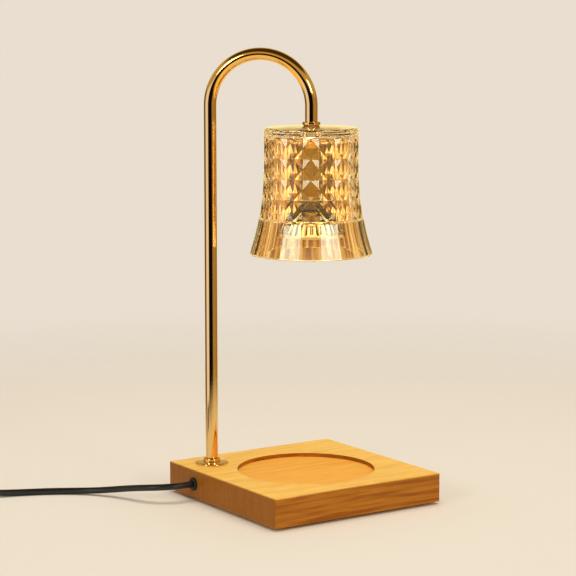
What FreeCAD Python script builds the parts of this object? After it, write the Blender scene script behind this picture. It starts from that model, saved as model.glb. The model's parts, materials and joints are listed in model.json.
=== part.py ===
"""Candle warmer lamp: a glass shade with a reflector bulb hangs from an arched tube over a wooden base.

Millimetres, +Z up. The origin is on the table, under the middle of the square base. Its sides run along X
and Y.
"""

import FreeCAD, Part
import math
import os
import re
import Sketcher

VEC = FreeCAD.Vector
UP = VEC(0, 0, 1)
doc = FreeCAD.newDocument("CandleWarmerLamp")

# ---------------------------------------------------------------- driving dimensions

SIZES = [
    # base
    ("base_side", 150, "side of the square base"),
    ("base_thick", 22, "height of the wooden block"),
    ("base_edge", 0.6, "chamfer on the block's edges"),
    ("pad_thick", 2, "foot pad under the block"),
    ("pad_inset", 6, "pad's edge from the block's side"),
    ("pad_corner", 6, "corner radius of the pad"),
    ("recess_dia", 105.4, "candle recess"),
    ("recess_depth", 3, "depth of the candle recess"),
    ("recess_shift", 4, "recess centre towards the front, -Y"),
    ("cavity_side", 44, "side of the wiring cavity"),
    ("cavity_depth", 15.5, "cavity depth from the underside"),
    ("cavity_inset", 32, "cavity centre from the two block sides"),
    ("cavity_corner", 5, "corner radius of the cavity"),
    ("spot_dia", 20, "spot face under the post"),
    ("spot_depth", 2, "depth of the spot face"),
    ("cover_side", 54, "side of the bottom cover"),
    ("cover_thick", 1.5, "bottom cover"),
    ("cover_gap", 0.2, "play round the cover in its rebate"),
    ("cover_screw_inset", 3.4, "cover screw from the cover's edge"),
    # screws
    ("screw_dia", 2.4, "shank of the small screws"),
    ("screw_head_dia", 4.2, "head of the small screws"),
    ("screw_head_thick", 1.2, "head of the small screws"),
    ("cover_screw_length", 10, "under the head's top"),
    ("clip_screw_length", 6.5, "under the head"),
    ("thread_gap", 0.05, "radial play of a thread or a pushed-in piece"),
    ("hole_gap", 0.2, "radial play of a clearance hole"),
    ("pilot_extra", 0.5, "pilot hole beyond a screw's tip"),
    # cord
    ("cord_dia", 5, "round sheathed cord"),
    ("cord_inset", 36.5, "cord hole from the back side"),
    ("lead_dia", 3.4, "pair of leads inside the tube"),
    ("lead_gap", 0.5, "leads above the cover"),
    ("grommet_dia", 10, "outer flange of the grommet"),
    ("grommet_flange", 1.8, "thickness of the outer flange"),
    ("grommet_wall", 1.2, "wall of the grommet's barrel"),
    ("grommet_lip", 1.3, "thickness of the inner lip"),
    ("clip_wall", 1.5, "wall of the cord clip's ring"),
    ("clip_width", 5, "width of the cord clip"),
    ("clip_inset", 4.5, "clip's middle from the cavity's wall"),
    ("clip_margin", 0.4, "clip's ear beyond its screw head"),
    ("sheath_stub", 2.5, "sheath beyond the clip"),
    # post and arch
    ("post_inset", 24, "post axis from the two block sides"),
    ("lamp_height", 345, "table to the top of the arch"),
    ("arch_span", 78.2, "post axis to shade axis"),
    ("arch_drop", 12.5, "straight tube below the bend on the shade's side"),
    ("tube_dia", 9.5, "tube's outside"),
    ("tube_wall", 0.8, "tube's wall"),
    ("flange_dia", 25.6, "disc at the post's foot"),
    ("flange_thick", 1.6, "disc at the post's foot"),
    ("foot_collar_dia", 13, "ring round the post's foot"),
    ("foot_collar_height", 3.2, "ring round the post's foot"),
    ("foot_collar_round", 1.2, "rounding of the ring's upper edge"),
    ("nipple_wall", 1.1, "wall of the threaded nipples"),
    ("nipple_grip", 11, "nipple inside the tube"),
    ("nut_across", 13, "hex nuts across the corners less the rounding"),
    ("nut_thick", 4.5, "hex nuts"),
    ("washer_dia", 16, "flat washers"),
    ("washer_thick", 1, "flat washers"),
    ("spring_washer_dia", 13, "spring washer"),
    ("spring_washer_thick", 1.4, "spring washer"),
    ("washer_slit", 0.8, "slit of the spring washer"),
    ("stack_stub", 1, "nipple beyond its last nut"),
    # shade
    ("top_collar_dia", 13.6, "collar on the glass"),
    ("top_collar_thick", 2.5, "collar on the glass"),
    ("top_collar_round", 0.8, "rounding of that collar"),
    ("collar_seat", 1.3, "depth to which the tube sits in the collar"),
    ("seal_dia", 12, "silicone seals"),
    ("seal_thick", 1, "silicone seals"),
    ("glass_height", 97, "top of the glass to its rim"),
    ("glass_roof", 5.5, "glass at the stem hole"),
    ("glass_wall", 4, "pressed glass wall"),
    ("waist_dia", 72, "glass above the flare"),
    ("rim_dia", 93.8, "glass at the rim"),
    ("flare_height", 72.5, "rim to the start of the flare"),
    ("flare_power", 2.3, "how late the flare turns out"),
    ("facet_columns", 18, "cells round the glass"),
    ("facet_rows", 4, "rows of cells"),
    ("facet_low", 28.5, "rim to the lowest row"),
    ("facet_depth", 1.6, "how far a cell's corners lie in"),
    ("skirt_gap", 1.6, "slant between a row and the plain glass"),
    ("top_band", 1.5, "plain band above the cells"),
    ("shoulder_drop", 3.2, "size of the rounded shoulder"),
    ("crown_rise", 1, "fall of the glass top from its flat middle to the shoulder"),
    ("crown_dia", 28, "flat middle of the glass top"),
    ("shoulder_round", 6, "inner rounding under the roof"),
    ("glass_hole_gap", 1, "radial play of the stem in the glass"),
    # socket
    ("cup_dia", 22, "socket cup"),
    ("cup_wall", 0.8, "socket cup"),
    ("cup_height", 40, "socket cup"),
    ("cup_shoulder", 4, "slope at the cup's top"),
    ("cup_nut_across", 12, "nut inside the cup"),
    ("cup_nut_thick", 4, "nut inside the cup"),
    ("ceramic_height", 16, "ceramic socket body"),
    ("ceramic_gap", 0.3, "ceramic to cup"),
    ("ceramic_drop", 1.5, "nipple's end to the ceramic"),
    ("slot_plate", 4.2, "ceramic under the pin heads"),
    ("slot_width", 4, "slot for the pins"),
    ("chamber_dia", 17, "space for the pin heads"),
    ("chamber_height", 6, "space for the pin heads"),
    ("twist_angle", 25, "quarter-turn lock, degrees"),
    ("side_screw_bite", 3.5, "side screw inside the ceramic"),
    ("contact_thick", 0.4, "contact springs"),
    ("contact_width", 6, "contact springs"),
    ("contact_gap", 0.3, "contact to pin head"),
    # bulb
    ("bulb_gap", 0.5, "bulb's shoulder below the ceramic"),
    ("bulb_length", 47.5, "shoulder to the front"),
    ("bulb_front_dia", 50, "reflector's rim"),
    ("bulb_base_dia", 18.5, "ceramic base"),
    ("bulb_base_length", 23.5, "ceramic base"),
    ("bulb_base_edge", 0.8, "chamfer round its shoulder"),
    ("neck_dia", 18.4, "reflector's neck"),
    ("ferrule_dia", 22, "ribbed ring on the neck"),
    ("ferrule_length", 6, "ribbed ring on the neck"),
    ("ferrule_overlap", 3.9, "ribbed ring over the base"),
    ("bowl_height", 18, "reflector's bowl"),
    ("reflector_wall", 1.3, "pressed glass reflector"),
    ("rim_band", 3, "straight band at the reflector's rim"),
    ("rim_slant", 0.4, "bowl to the straight band"),
    ("rim_wall", 1.55, "reflector beside the lens"),
    ("lens_ledge", 0.8, "ledge above the lens"),
    ("neck_gap", 0.1, "reflector's neck below the ceramic"),
    ("bowl_drop", 0.6, "inside of the bowl below its outside"),
    ("lens_thick", 1.7, "front lens"),
    ("lens_inset", 0.5, "lens inside the rim"),
    ("pin_pitch", 10, "between the two pins"),
    ("pin_dia", 3.2, "pin's neck"),
    ("pin_head_dia", 5, "pin's head"),
    ("pin_head_thick", 2, "pin's head"),
    ("pin_length", 6.8, "pin beyond the shoulder"),
    ("pin_root", 4, "pin inside the base"),
    ("capsule_dia", 9, "quartz capsule"),
    ("capsule_wall", 0.9, "quartz capsule"),
    ("capsule_length", 17, "quartz capsule"),
    ("capsule_root", 3, "capsule inside the base"),
    ("filament_dia", 1.4, "coiled filament"),
    ("filament_length", 6, "coiled filament"),
    ("wire_dia", 0.6, "wires that hold the filament"),
    ("wire_pitch", 4, "between those wires"),
    # in-line dimmer
    ("dimmer_length", 60, "case"),
    ("dimmer_width", 28, "case"),
    ("dimmer_height", 18, "case"),
    ("dimmer_wall", 2, "case"),
    ("dimmer_corner", 8, "corner radius of the case"),
    ("dimmer_round", 1.5, "rounding of the case's outer edges"),
    ("wheel_dia", 24, "thumbwheel"),
    ("wheel_thick", 5, "thumbwheel"),
    ("wheel_reach", 4, "thumbwheel beyond the case"),
    ("wheel_gap", 0.6, "play round the thumbwheel"),
    ("wheel_ribs", 30, "grip notches"),
    ("notch_dia", 1.4, "grip notches"),
    ("spindle_dia", 4, "thumbwheel's spindle"),
    ("spindle_gap", 0.08, "radial running play of the spindle"),
    ("spindle_float", 0.3, "end play of the spindle"),
    ("spindle_roof", 0.5, "spindle's top below the case's ceiling"),
    ("pot_dia", 11, "potentiometer"),
    ("pot_thick", 2.6, "potentiometer"),
    ("pot_floor", 0.5, "potentiometer under the spindle's bore"),
    ("board_length", 32, "circuit board"),
    ("board_width", 22, "circuit board"),
    ("board_thick", 1.6, "circuit board"),
    ("boss_dia", 5.6, "screw bosses"),
    ("boss_x", 21.5, "screw bosses from the middle"),
    ("boss_y", 8.5, "screw bosses from the middle"),
    ("case_screw_bite", 4, "case screws inside the upper bosses"),
    ("sleeve_length", 12, "cord sleeve outside the case"),
    ("sleeve_dia", 8.4, "sleeve at the case"),
    ("sleeve_tip_dia", 6.4, "sleeve at its tip"),
    ("sleeve_neck_dia", 7.4, "sleeve in the case's wall"),
    ("sleeve_lip", 1.4, "sleeve's lip inside the case"),
    ("sleeve_lip_width", 1.1, "that lip beyond the neck"),
    ("cord_tail_in", 6, "cord's end inside the case"),
    # coil, tie and plug
    ("coil_mean_dia", 55, "middle of the turns"),
    ("coil_lift", 1.1, "underside of the coil above the table"),
    ("coil_across", 22, "bundle, sideways"),
    ("coil_high", 10, "bundle, upwards"),
    ("tie_width", 9, "hook-and-loop tie"),
    ("tie_thick", 0.7, "hook-and-loop tie"),
    ("tie_gap", 0.25, "tie to the coil"),
    ("plug_length", 30, "moulded plug"),
    ("plug_width", 24, "moulded plug"),
    ("plug_high", 16, "moulded plug"),
    ("plug_back_width", 15, "plug at the strain relief"),
    ("plug_back_high", 12.6, "plug at the strain relief"),
    ("plug_round", 4, "corner radius of the plug"),
    ("plug_lift", 0.2, "plug above the table"),
    ("relief_length", 25, "strain relief"),
    ("relief_dia", 11.6, "strain relief at the plug"),
    ("relief_tip_dia", 6.8, "strain relief at the cord"),
    ("blade_pitch", 12.7, "between the blades"),
    ("blade_thick", 1.5, "blades"),
    ("blade_width", 6.4, "blades"),
    ("blade_length", 17, "blades"),
    ("blade_hole_dia", 3, "holes in the blades"),
    ("blade_hole_inset", 4.5, "hole from the blade's tip"),
]

# Levels, places and diameters that follow from the driving dimensions.
PLACES = [
    ("base_top", "pad_thick + base_thick"),
    ("cavity_roof", "pad_thick + cavity_depth"),
    ("spot_roof", "cavity_roof + spot_depth"),
    ("cover_top", "pad_thick + cover_thick"),
    ("cord_level", "pad_thick + base_thick / 2"),
    ("cord_exit_y", "base_side / 2 - cord_inset"),
    ("post_x", "post_inset - base_side / 2"),
    ("post_y", "base_side / 2 - post_inset"),
    ("cavity_x", "cavity_inset - base_side / 2"),
    ("cavity_y", "base_side / 2 - cavity_inset"),
    ("cavity_wall_x", "cavity_x - cavity_side / 2"),
    ("clip_x", "cavity_wall_x + clip_inset"),
    ("sheath_end_x", "clip_x + clip_width / 2 + sheath_stub"),
    ("cord_exit_x", "0 - base_side / 2 - grommet_flange"),
    ("shade_x", "post_x + arch_span / sqrt(2)"),
    ("shade_y", "post_y - arch_span / sqrt(2)"),
    ("tube_bore", "tube_dia - 2 * tube_wall"),
    ("nipple_dia", "tube_bore - 2 * thread_gap"),
    ("nipple_bore", "nipple_dia - 2 * nipple_wall"),
    ("stem_hole", "nipple_dia + 2 * hole_gap"),
    ("tube_foot", "base_top + flange_thick"),
    ("spring_level", "lamp_height - tube_dia / 2 - arch_span / 2"),
    ("tube_end", "spring_level - arch_drop"),
    ("post_nut_low", "spot_roof - washer_thick - spring_washer_thick - nut_thick"),
    ("top_collar_low", "tube_end + collar_seat - top_collar_thick"),
    ("glass_top", "top_collar_low - seal_thick"),
    ("glass_under", "glass_top - glass_roof"),
    ("rim_level", "glass_top - glass_height"),
    ("cells_high", "glass_height - crown_rise - shoulder_drop - top_band - skirt_gap - facet_low"),
    ("shade_washer_low", "glass_under - seal_thick - washer_thick"),
    ("cup_top", "shade_washer_low - nut_thick"),
    ("cup_bore", "cup_dia - 2 * cup_wall"),
    ("cup_nut_low", "cup_top - cup_wall - cup_nut_thick"),
    ("ceramic_top", "cup_nut_low - stack_stub - ceramic_drop"),
    ("ceramic_low", "ceramic_top - ceramic_height"),
    ("ceramic_dia", "cup_bore - 2 * ceramic_gap"),
    ("bulb_top", "ceramic_low - bulb_gap"),
    ("lens_dia", "bulb_front_dia - 2 * rim_wall - 2 * thread_gap"),
]

homes = {}


def spelled(formula):
    """The formula with each name led by the sheet that holds it."""
    return re.sub(r"[a-z]\w*", lambda word: homes.get(word.group(), "") + word.group(), str(formula))


def fill(sheet, rows):
    """Writes names, values and notes, and gives each value its name as an alias."""
    for row, (name, value, *note) in enumerate(rows, 1):
        is_number = isinstance(value, (int, float))
        sheet.set("A%d" % row, name)
        sheet.set("B%d" % row, str(value) if is_number else "=" + spelled(value))
        sheet.setAlias("B%d" % row, name)
        if note:
            sheet.set("C%d" % row, note[0])
        homes[name] = sheet.Name + "."


size_sheet = doc.addObject("Spreadsheet::Sheet", "Size")
fill(size_sheet, SIZES)
place_sheet = doc.addObject("Spreadsheet::Sheet", "Place")
fill(place_sheet, PLACES)
doc.recompute()


def mm(formula):
    """What a formula comes to, as a plain number."""
    return float(size_sheet.evalExpression(spelled(formula)))


# ---------------------------------------------------------------- helpers

nodes = []


def bind(thing, formulas):
    for field, formula in formulas.items():
        thing.setExpression(field, spelled(formula))


def put(thing, x="0", y="0", z="0"):
    """Binds where a piece stands, and keeps its turn."""
    bind(thing, {"Placement.Base.x": x, "Placement.Base.y": y, "Placement.Base.z": z})
    return thing


def turn(thing, axis, angle):
    thing.Placement = FreeCAD.Placement(VEC(0, 0, 0), FreeCAD.Rotation(axis, angle))
    return thing


def keep(thing, node):
    """Marks a finished sub-part. Its Label is the name of its node and file."""
    thing.Label = node
    nodes.append(thing)
    return thing


def attach(body, name, plane, level="0"):
    """A sketch on one of the body's own origin planes, lifted off it by a formula."""
    sketch = body.newObject("Sketcher::SketchObject", name)
    home = [face for face in body.Origin.OriginFeatures if face.Role == plane]
    sketch.AttachmentSupport = [(home[0], "")]
    sketch.MapMode = "FlatFace"
    bind(sketch, {"AttachmentOffset.Base.z": level})
    return sketch


def hold(sketch, constraint, formula):
    index = sketch.addConstraint(constraint)
    sketch.setExpression("Constraints[%d]" % index, spelled(formula))


def polygon(sketch, corners):
    """A closed outline. Each corner is a pair of formulas."""
    spots = [VEC(mm(across), mm(up), 0) for across, up in corners]
    count = len(spots)
    for i in range(count):
        sketch.addGeometry(Part.LineSegment(spots[i], spots[(i + 1) % count]), False)
    for i in range(count):
        sketch.addConstraint(Sketcher.Constraint("Coincident", i, 2, (i + 1) % count, 1))
    for i, (across, up) in enumerate(corners):
        hold(sketch, Sketcher.Constraint("DistanceX", -1, 1, i, 1, spots[i].x), across)
        hold(sketch, Sketcher.Constraint("DistanceY", -1, 1, i, 1, spots[i].y), up)


def ring(sketch, across, up, dia):
    """A circle at a place, of a diameter."""
    circle = Part.Circle(VEC(mm(across), mm(up), 0), UP, mm(dia) / 2)
    index = sketch.addGeometry(circle, False)
    hold(sketch, Sketcher.Constraint("DistanceX", -1, 1, index, 3, mm(across)), across)
    hold(sketch, Sketcher.Constraint("DistanceY", -1, 1, index, 3, mm(up)), up)
    hold(sketch, Sketcher.Constraint("Diameter", index, mm(dia)), dia)


def rounded(sketch, x, y, wide, high, radius):
    """A rectangle about (x, y) with rounded corners."""
    half_w, half_h, r = mm(wide) / 2, mm(high) / 2, mm(radius)
    cx, cy = mm(x), mm(y)
    inner_w, inner_h = half_w - r, half_h - r
    sides = [
        ((-inner_w, -half_h), (inner_w, -half_h)),
        ((half_w, -inner_h), (half_w, inner_h)),
        ((inner_w, half_h), (-inner_w, half_h)),
        ((-half_w, inner_h), (-half_w, -inner_h)),
    ]
    turns = [(inner_w, -inner_h), (inner_w, inner_h), (-inner_w, inner_h), (-inner_w, -inner_h)]
    for k in range(4):
        start, end = (VEC(cx + a, cy + b, 0) for a, b in sides[k])
        sketch.addGeometry(Part.LineSegment(start, end), False)
        middle = VEC(cx + turns[k][0], cy + turns[k][1], 0)
        begin = math.radians(90 * k - 90)
        sketch.addGeometry(Part.ArcOfCircle(Part.Circle(middle, UP, r), begin, begin + math.pi / 2), False)
    for k in range(4):
        line, arc, after = 2 * k, 2 * k + 1, (2 * k + 2) % 8
        sketch.addConstraint(Sketcher.Constraint("Tangent", line, 2, arc, 1))
        sketch.addConstraint(Sketcher.Constraint("Tangent", arc, 2, after, 1))
        sketch.addConstraint(Sketcher.Constraint("Horizontal" if k % 2 == 0 else "Vertical", line))
        if k:
            sketch.addConstraint(Sketcher.Constraint("Equal", 1, arc))
    hold(sketch, Sketcher.Constraint("Radius", 1, r), radius)
    low, right = "%s - (%s) / 2" % (y, high), "%s + (%s) / 2" % (x, wide)
    top, left = "%s + (%s) / 2" % (y, high), "%s - (%s) / 2" % (x, wide)
    hold(sketch, Sketcher.Constraint("DistanceY", -1, 1, 0, 1, cy - half_h), low)
    hold(sketch, Sketcher.Constraint("DistanceX", -1, 1, 2, 1, cx + half_w), right)
    hold(sketch, Sketcher.Constraint("DistanceY", -1, 1, 4, 1, cy + half_h), top)
    hold(sketch, Sketcher.Constraint("DistanceX", -1, 1, 6, 1, cx - half_w), left)


def new_body(name):
    return doc.addObject("PartDesign::Body", name)


def pad(body, sketch, height):
    feature = body.newObject("PartDesign::Pad", sketch.Name + "_pad")
    feature.Profile = sketch
    bind(feature, {"Length": height})
    return feature


def pocket(body, sketch, depth, upwards=False):
    """Cuts from the sketch downwards, or upwards, and makes sure that it did cut."""
    doc.recompute()
    before = body.Shape.Volume
    feature = body.newObject("PartDesign::Pocket", sketch.Name + "_pocket")
    feature.Profile = sketch
    feature.Reversed = upwards
    bind(feature, {"Length": depth})
    doc.recompute()
    if not body.Shape.Volume < before:
        raise RuntimeError(sketch.Name + " cuts nothing")
    return feature


def dress(body, kind, size, choose):
    """A fillet or a chamfer on the edges that choose() picks."""
    doc.recompute()
    tip = body.Tip
    edges = ["Edge%d" % (i + 1) for i, edge in enumerate(tip.Shape.Edges) if choose(edge)]
    feature = body.newObject("PartDesign::" + kind, body.Name + "_" + kind)
    feature.Base = (tip, edges)
    bind(feature, {"Radius" if kind == "Fillet" else "Size": size})


def level_edge(level):
    """Picks the edges that lie flat at one height."""
    height = mm(level)
    return lambda edge: all(abs(v.Point.z - height) < 1e-4 for v in edge.Vertexes)


def lathe(name, corners):
    """A solid of revolution about Z. Corners are (radius, height) pairs of formulas."""
    body = new_body(name)
    sketch = attach(body, name + "_profile", "XZ_Plane")
    polygon(sketch, corners)
    spin = body.newObject("PartDesign::Revolution", name + "_spin")
    spin.Profile = sketch
    spin.ReferenceAxis = (sketch, ["V_Axis"])
    spin.Angle = 360
    return body


def tube_stub(name, outer_dia, inner_dia, height):
    """A plain ring or sleeve that stands on its own z = 0."""
    inner, outer = "(%s) / 2" % inner_dia, "(%s) / 2" % outer_dia
    return lathe(name, [(inner, "0"), (outer, "0"), (outer, height), (inner, height)])


def cylinder(name, dia, height, x="0", y="0", z="0"):
    rod = doc.addObject("Part::Cylinder", name)
    bind(rod, {"Radius": "(%s) / 2" % dia, "Height": height})
    return put(rod, x, y, z)


def box(name, wide, deep, high, x="0", y="0", z="0"):
    """A block centred on x and y, standing on z."""
    block = doc.addObject("Part::Box", name)
    bind(block, {"Length": wide, "Width": deep, "Height": high})
    return put(block, "%s - (%s) / 2" % (x, wide), "%s - (%s) / 2" % (y, deep), z)


def fuse(name, pieces):
    joined = doc.addObject("Part::MultiFuse", name)
    joined.Shapes = pieces
    return joined


def cut(name, base, tools):
    result = doc.addObject("Part::Cut", name)
    result.Base = base
    result.Tool = tools[0] if len(tools) == 1 else fuse(name + "_tools", tools)
    return result


def group(name, pieces):
    """Several separate solids in one node."""
    bundle = doc.addObject("Part::Compound", name)
    bundle.Links = pieces
    return bundle


def hex_nut(name, across, thick, bore):
    blank = doc.addObject("Part::Prism", name + "_blank")
    blank.Polygon = 6
    bind(blank, {"Circumradius": "(%s) / 2" % across, "Height": thick})
    return cut(name, blank, [cylinder(name + "_bore", bore, "(%s) + 2" % thick, z="-1")])


def pan_screw(name, length):
    """Head on its own z = 0 and below, shank upwards, with a cross recess."""
    head = cylinder(name + "_head", "screw_head_dia", "screw_head_thick", z="-screw_head_thick")
    shank = cylinder(name + "_shank", "screw_dia", length)
    blank = fuse(name + "_blank", [head, shank])
    arm, slot, deep = "screw_head_dia * 0.6", "screw_dia / 5", "screw_head_thick / 2"
    cross = [
        box(name + "_slot_a", arm, slot, deep, z="-screw_head_thick"),
        box(name + "_slot_b", slot, arm, deep, z="-screw_head_thick"),
    ]
    return cut(name, blank, cross)


def pieces_at(name, make, spots):
    """The same piece at several places, as one node."""
    copies = [put(make("%s_%d" % (name, i + 1)), *spot) for i, spot in enumerate(spots)]
    return group(name, copies)


def solid_node(name, shape):
    """A shape worked out below, at its own place."""
    feature = doc.addObject("Part::Feature", name)
    feature.Shape = shape
    feature.Placement = FreeCAD.Placement()
    return feature


# ---------------------------------------------------------------- wooden base

block = new_body("base_block")
square = attach(block, "block_outline", "XY_Plane", "pad_thick")
half = "base_side / 2"
polygon(square, [("-" + half, "-" + half), (half, "-" + half), (half, half), ("-" + half, half)])
pad(block, square, "base_thick")
dress(block, "Chamfer", "base_edge", lambda edge: True)

recess = attach(block, "candle_recess", "XY_Plane", "base_top")
ring(recess, "0", "-recess_shift", "recess_dia")
pocket(block, recess, "recess_depth")

rebate = attach(block, "cover_rebate", "XY_Plane", "pad_thick")
rebate_side = "cover_side + 2 * cover_gap"
rounded(rebate, "cavity_x", "cavity_y", rebate_side, rebate_side, "cavity_corner + cover_gap")
pocket(block, rebate, "cover_thick", upwards=True)

cavity = attach(block, "wiring_cavity", "XY_Plane", "pad_thick")
rounded(cavity, "cavity_x", "cavity_y", "cavity_side", "cavity_side", "cavity_corner")
pocket(block, cavity, "cavity_depth", upwards=True)

spot = attach(block, "spot_face", "XY_Plane", "cavity_roof")
ring(spot, "post_x", "post_y", "spot_dia")
pocket(block, spot, "spot_depth", upwards=True)

stem = attach(block, "stem_hole", "XY_Plane", "spot_roof")
ring(stem, "post_x", "post_y", "stem_hole")
pocket(block, stem, "base_top - spot_roof", upwards=True)

cover_spots = []
reach = "(cover_side / 2 - cover_screw_inset)"
for sign_x in ("-", "+"):
    for sign_y in ("-", "+"):
        cover_spots.append(("cavity_x %s %s" % (sign_x, reach), "cavity_y %s %s" % (sign_y, reach)))
pilots = attach(block, "screw_pilots", "XY_Plane", "cover_top")
for across, up in cover_spots:
    ring(pilots, across, up, "screw_dia + 2 * thread_gap")
pocket(block, pilots, "cover_screw_length", upwards=True)

clip_ear_y = "(cord_exit_y - cord_dia / 2 - clip_wall - screw_head_dia)"
clip_pilot = attach(block, "clip_pilot", "XY_Plane", "cavity_roof")
ring(clip_pilot, "clip_x", clip_ear_y, "screw_dia + 2 * thread_gap")
pocket(block, clip_pilot, "clip_screw_length - clip_wall", upwards=True)

barrel_dia = "(cord_dia + 2 * thread_gap + 2 * grommet_wall)"
side_hole = attach(block, "cord_hole", "YZ_Plane", "0 - base_side / 2")
ring(side_hole, "cord_exit_y", "cord_level", barrel_dia + " + 2 * thread_gap")
pocket(block, side_hole, "base_side / 2 + cavity_wall_x", upwards=True)
keep(block, "base_block")

foot = new_body("base_pad")
foot_outline = attach(foot, "pad_outline", "XY_Plane")
pad_side = "base_side - 2 * pad_inset"
rounded(foot_outline, "0", "0", pad_side, pad_side, "pad_corner")
pad(foot, foot_outline, "pad_thick")
keep(foot, "base_pad")

cover = new_body("bottom_cover")
cover_outline = attach(cover, "cover_outline", "XY_Plane", "pad_thick")
rounded(cover_outline, "cavity_x", "cavity_y", "cover_side", "cover_side", "cavity_corner")
pad(cover, cover_outline, "cover_thick")
sinks = attach(cover, "head_sinks", "XY_Plane", "pad_thick")
holes = attach(cover, "cover_holes", "XY_Plane", "pad_thick")
for across, up in cover_spots:
    ring(sinks, across, up, "screw_head_dia + 2 * thread_gap")
    ring(holes, across, up, "screw_dia + 2 * thread_gap")
pocket(cover, sinks, "screw_head_thick", upwards=True)
pocket(cover, holes, "cover_thick", upwards=True)
keep(cover, "bottom_cover")

head_seat = "pad_thick + screw_head_thick"
keep(
    pieces_at(
        "cover_screws",
        lambda name: pan_screw(name, "cover_screw_length - screw_head_thick"),
        [(across, up, head_seat) for across, up in cover_spots],
    ),
    "cover_screws",
)

# ---------------------------------------------------------------- cord entry

grommet_bore = "(cord_dia / 2 + thread_gap)"
barrel = "(cord_dia / 2 + thread_gap + grommet_wall)"
wall_run = "(base_side / 2 + cavity_wall_x)"
lip_end = wall_run + " + grommet_lip"
grommet = lathe(
    "cord_grommet",
    [
        (grommet_bore, "-grommet_flange"),
        ("grommet_dia / 2 - grommet_flange / 3", "-grommet_flange"),
        ("grommet_dia / 2", "-grommet_flange / 2"),
        ("grommet_dia / 2", "0"),
        (barrel, "0"),
        (barrel, wall_run),
        (barrel + " + grommet_wall / 2", wall_run),
        (barrel, lip_end),
        (grommet_bore, lip_end),
    ],
)
turn(grommet, VEC(0, 1, 0), 90)
keep(put(grommet, "0 - base_side / 2", "cord_exit_y", "cord_level"), "cord_grommet")

sheath = cylinder("sheathed_cord", "cord_dia", "sheath_end_x - cord_exit_x")
turn(sheath, VEC(0, 1, 0), 90)
keep(put(sheath, "cord_exit_x", "cord_exit_y", "cord_level"), "sheathed_cord")

# The clip is a ring round the cord, hung from an ear that is screwed to the cavity's roof.
clip_outer = "(cord_dia + 2 * thread_gap + 2 * clip_wall)"
clip_ring = turn(cylinder("clip_ring", clip_outer, "clip_width"), VEC(0, 1, 0), 90)
put(clip_ring, "clip_x - clip_width / 2", "cord_exit_y", "cord_level")
ear_end_y = "(%s - screw_head_dia / 2 - clip_margin)" % clip_ear_y
ear_length = "(cord_exit_y - %s)" % ear_end_y
clip_ear = box(
    "clip_ear",
    "clip_width",
    ear_length,
    "clip_wall",
    "clip_x",
    "cord_exit_y - %s / 2" % ear_length,
    "cavity_roof - clip_wall",
)
clip_bore = turn(cylinder("clip_bore", "cord_dia + 2 * thread_gap", "clip_width + 2"), VEC(0, 1, 0), 90)
put(clip_bore, "clip_x - clip_width / 2 - 1", "cord_exit_y", "cord_level")
clip_hole = cylinder(
    "clip_hole",
    "screw_dia + 2 * thread_gap",
    "clip_wall + 2",
    "clip_x",
    clip_ear_y,
    "cavity_roof - clip_wall - 1",
)
clip = cut("cord_clip", fuse("clip_blank", [clip_ring, clip_ear]), [clip_bore, clip_hole])
keep(clip, "cord_clip")

clip_screw = pan_screw("clip_screw", "clip_screw_length")
keep(put(clip_screw, "clip_x", clip_ear_y, "cavity_roof - clip_wall"), "clip_screw")

# ---------------------------------------------------------------- post, arch and their fixing

disc_round = "flange_thick / 2"
flange = lathe(
    "post_flange",
    [
        ("stem_hole / 2", "0"),
        ("flange_dia / 2", "0"),
        ("flange_dia / 2", "flange_thick - " + disc_round),
        ("flange_dia / 2 - %s" % disc_round, "flange_thick"),
        ("stem_hole / 2", "flange_thick"),
    ],
)
keep(put(flange, "post_x", "post_y", "base_top"), "post_flange")

collar = tube_stub("post_collar", "foot_collar_dia", "tube_dia + 2 * thread_gap", "foot_collar_height")
dress(
    collar,
    "Fillet",
    "foot_collar_round",
    lambda edge: level_edge("foot_collar_height")(edge) and edge.Curve.Radius > mm("tube_dia") / 2 + 1,
)
keep(put(collar, "post_x", "post_y", "tube_foot"), "post_collar")

arch = new_body("arch_tube")
arch_path = attach(arch, "arch_path", "XZ_Plane")
foot_z, bend_z, end_z = mm("tube_foot"), mm("spring_level"), mm("tube_end")
span = mm("arch_span")
crown = Part.Circle(VEC(span / 2, bend_z, 0), UP, span / 2)
arch_path.addGeometry(Part.LineSegment(VEC(0, foot_z, 0), VEC(0, bend_z, 0)), False)
arch_path.addGeometry(Part.ArcOfCircle(crown, 0, math.pi), False)
arch_path.addGeometry(Part.LineSegment(VEC(span, bend_z, 0), VEC(span, end_z, 0)), False)
arch_path.addConstraint(Sketcher.Constraint("Tangent", 0, 2, 1, 2))
arch_path.addConstraint(Sketcher.Constraint("Tangent", 1, 1, 2, 1))
arch_path.addConstraint(Sketcher.Constraint("Vertical", 0))
arch_path.addConstraint(Sketcher.Constraint("PointOnObject", 0, 1, -2))
hold(arch_path, Sketcher.Constraint("DistanceY", -1, 1, 0, 1, foot_z), "tube_foot")
hold(arch_path, Sketcher.Constraint("DistanceY", -1, 1, 0, 2, bend_z), "spring_level")
hold(arch_path, Sketcher.Constraint("DistanceX", -1, 1, 2, 2, span), "arch_span")
hold(arch_path, Sketcher.Constraint("DistanceY", -1, 1, 2, 2, end_z), "tube_end")
arch_path.addConstraint(Sketcher.Constraint("Vertical", 2))
for kind, dia in (("Additive", "tube_dia"), ("Subtractive", "tube_bore")):
    section = attach(arch, kind + "_section", "XY_Plane", "tube_foot")
    ring(section, "0", "0", dia)
    pipe = arch.newObject("PartDesign::%sPipe" % kind, kind + "_pipe")
    pipe.Profile = section
    pipe.Spine = (arch_path, [])
    doc.recompute()
turn(arch, UP, -45)
keep(put(arch, "post_x", "post_y"), "arch_tube")

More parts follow.
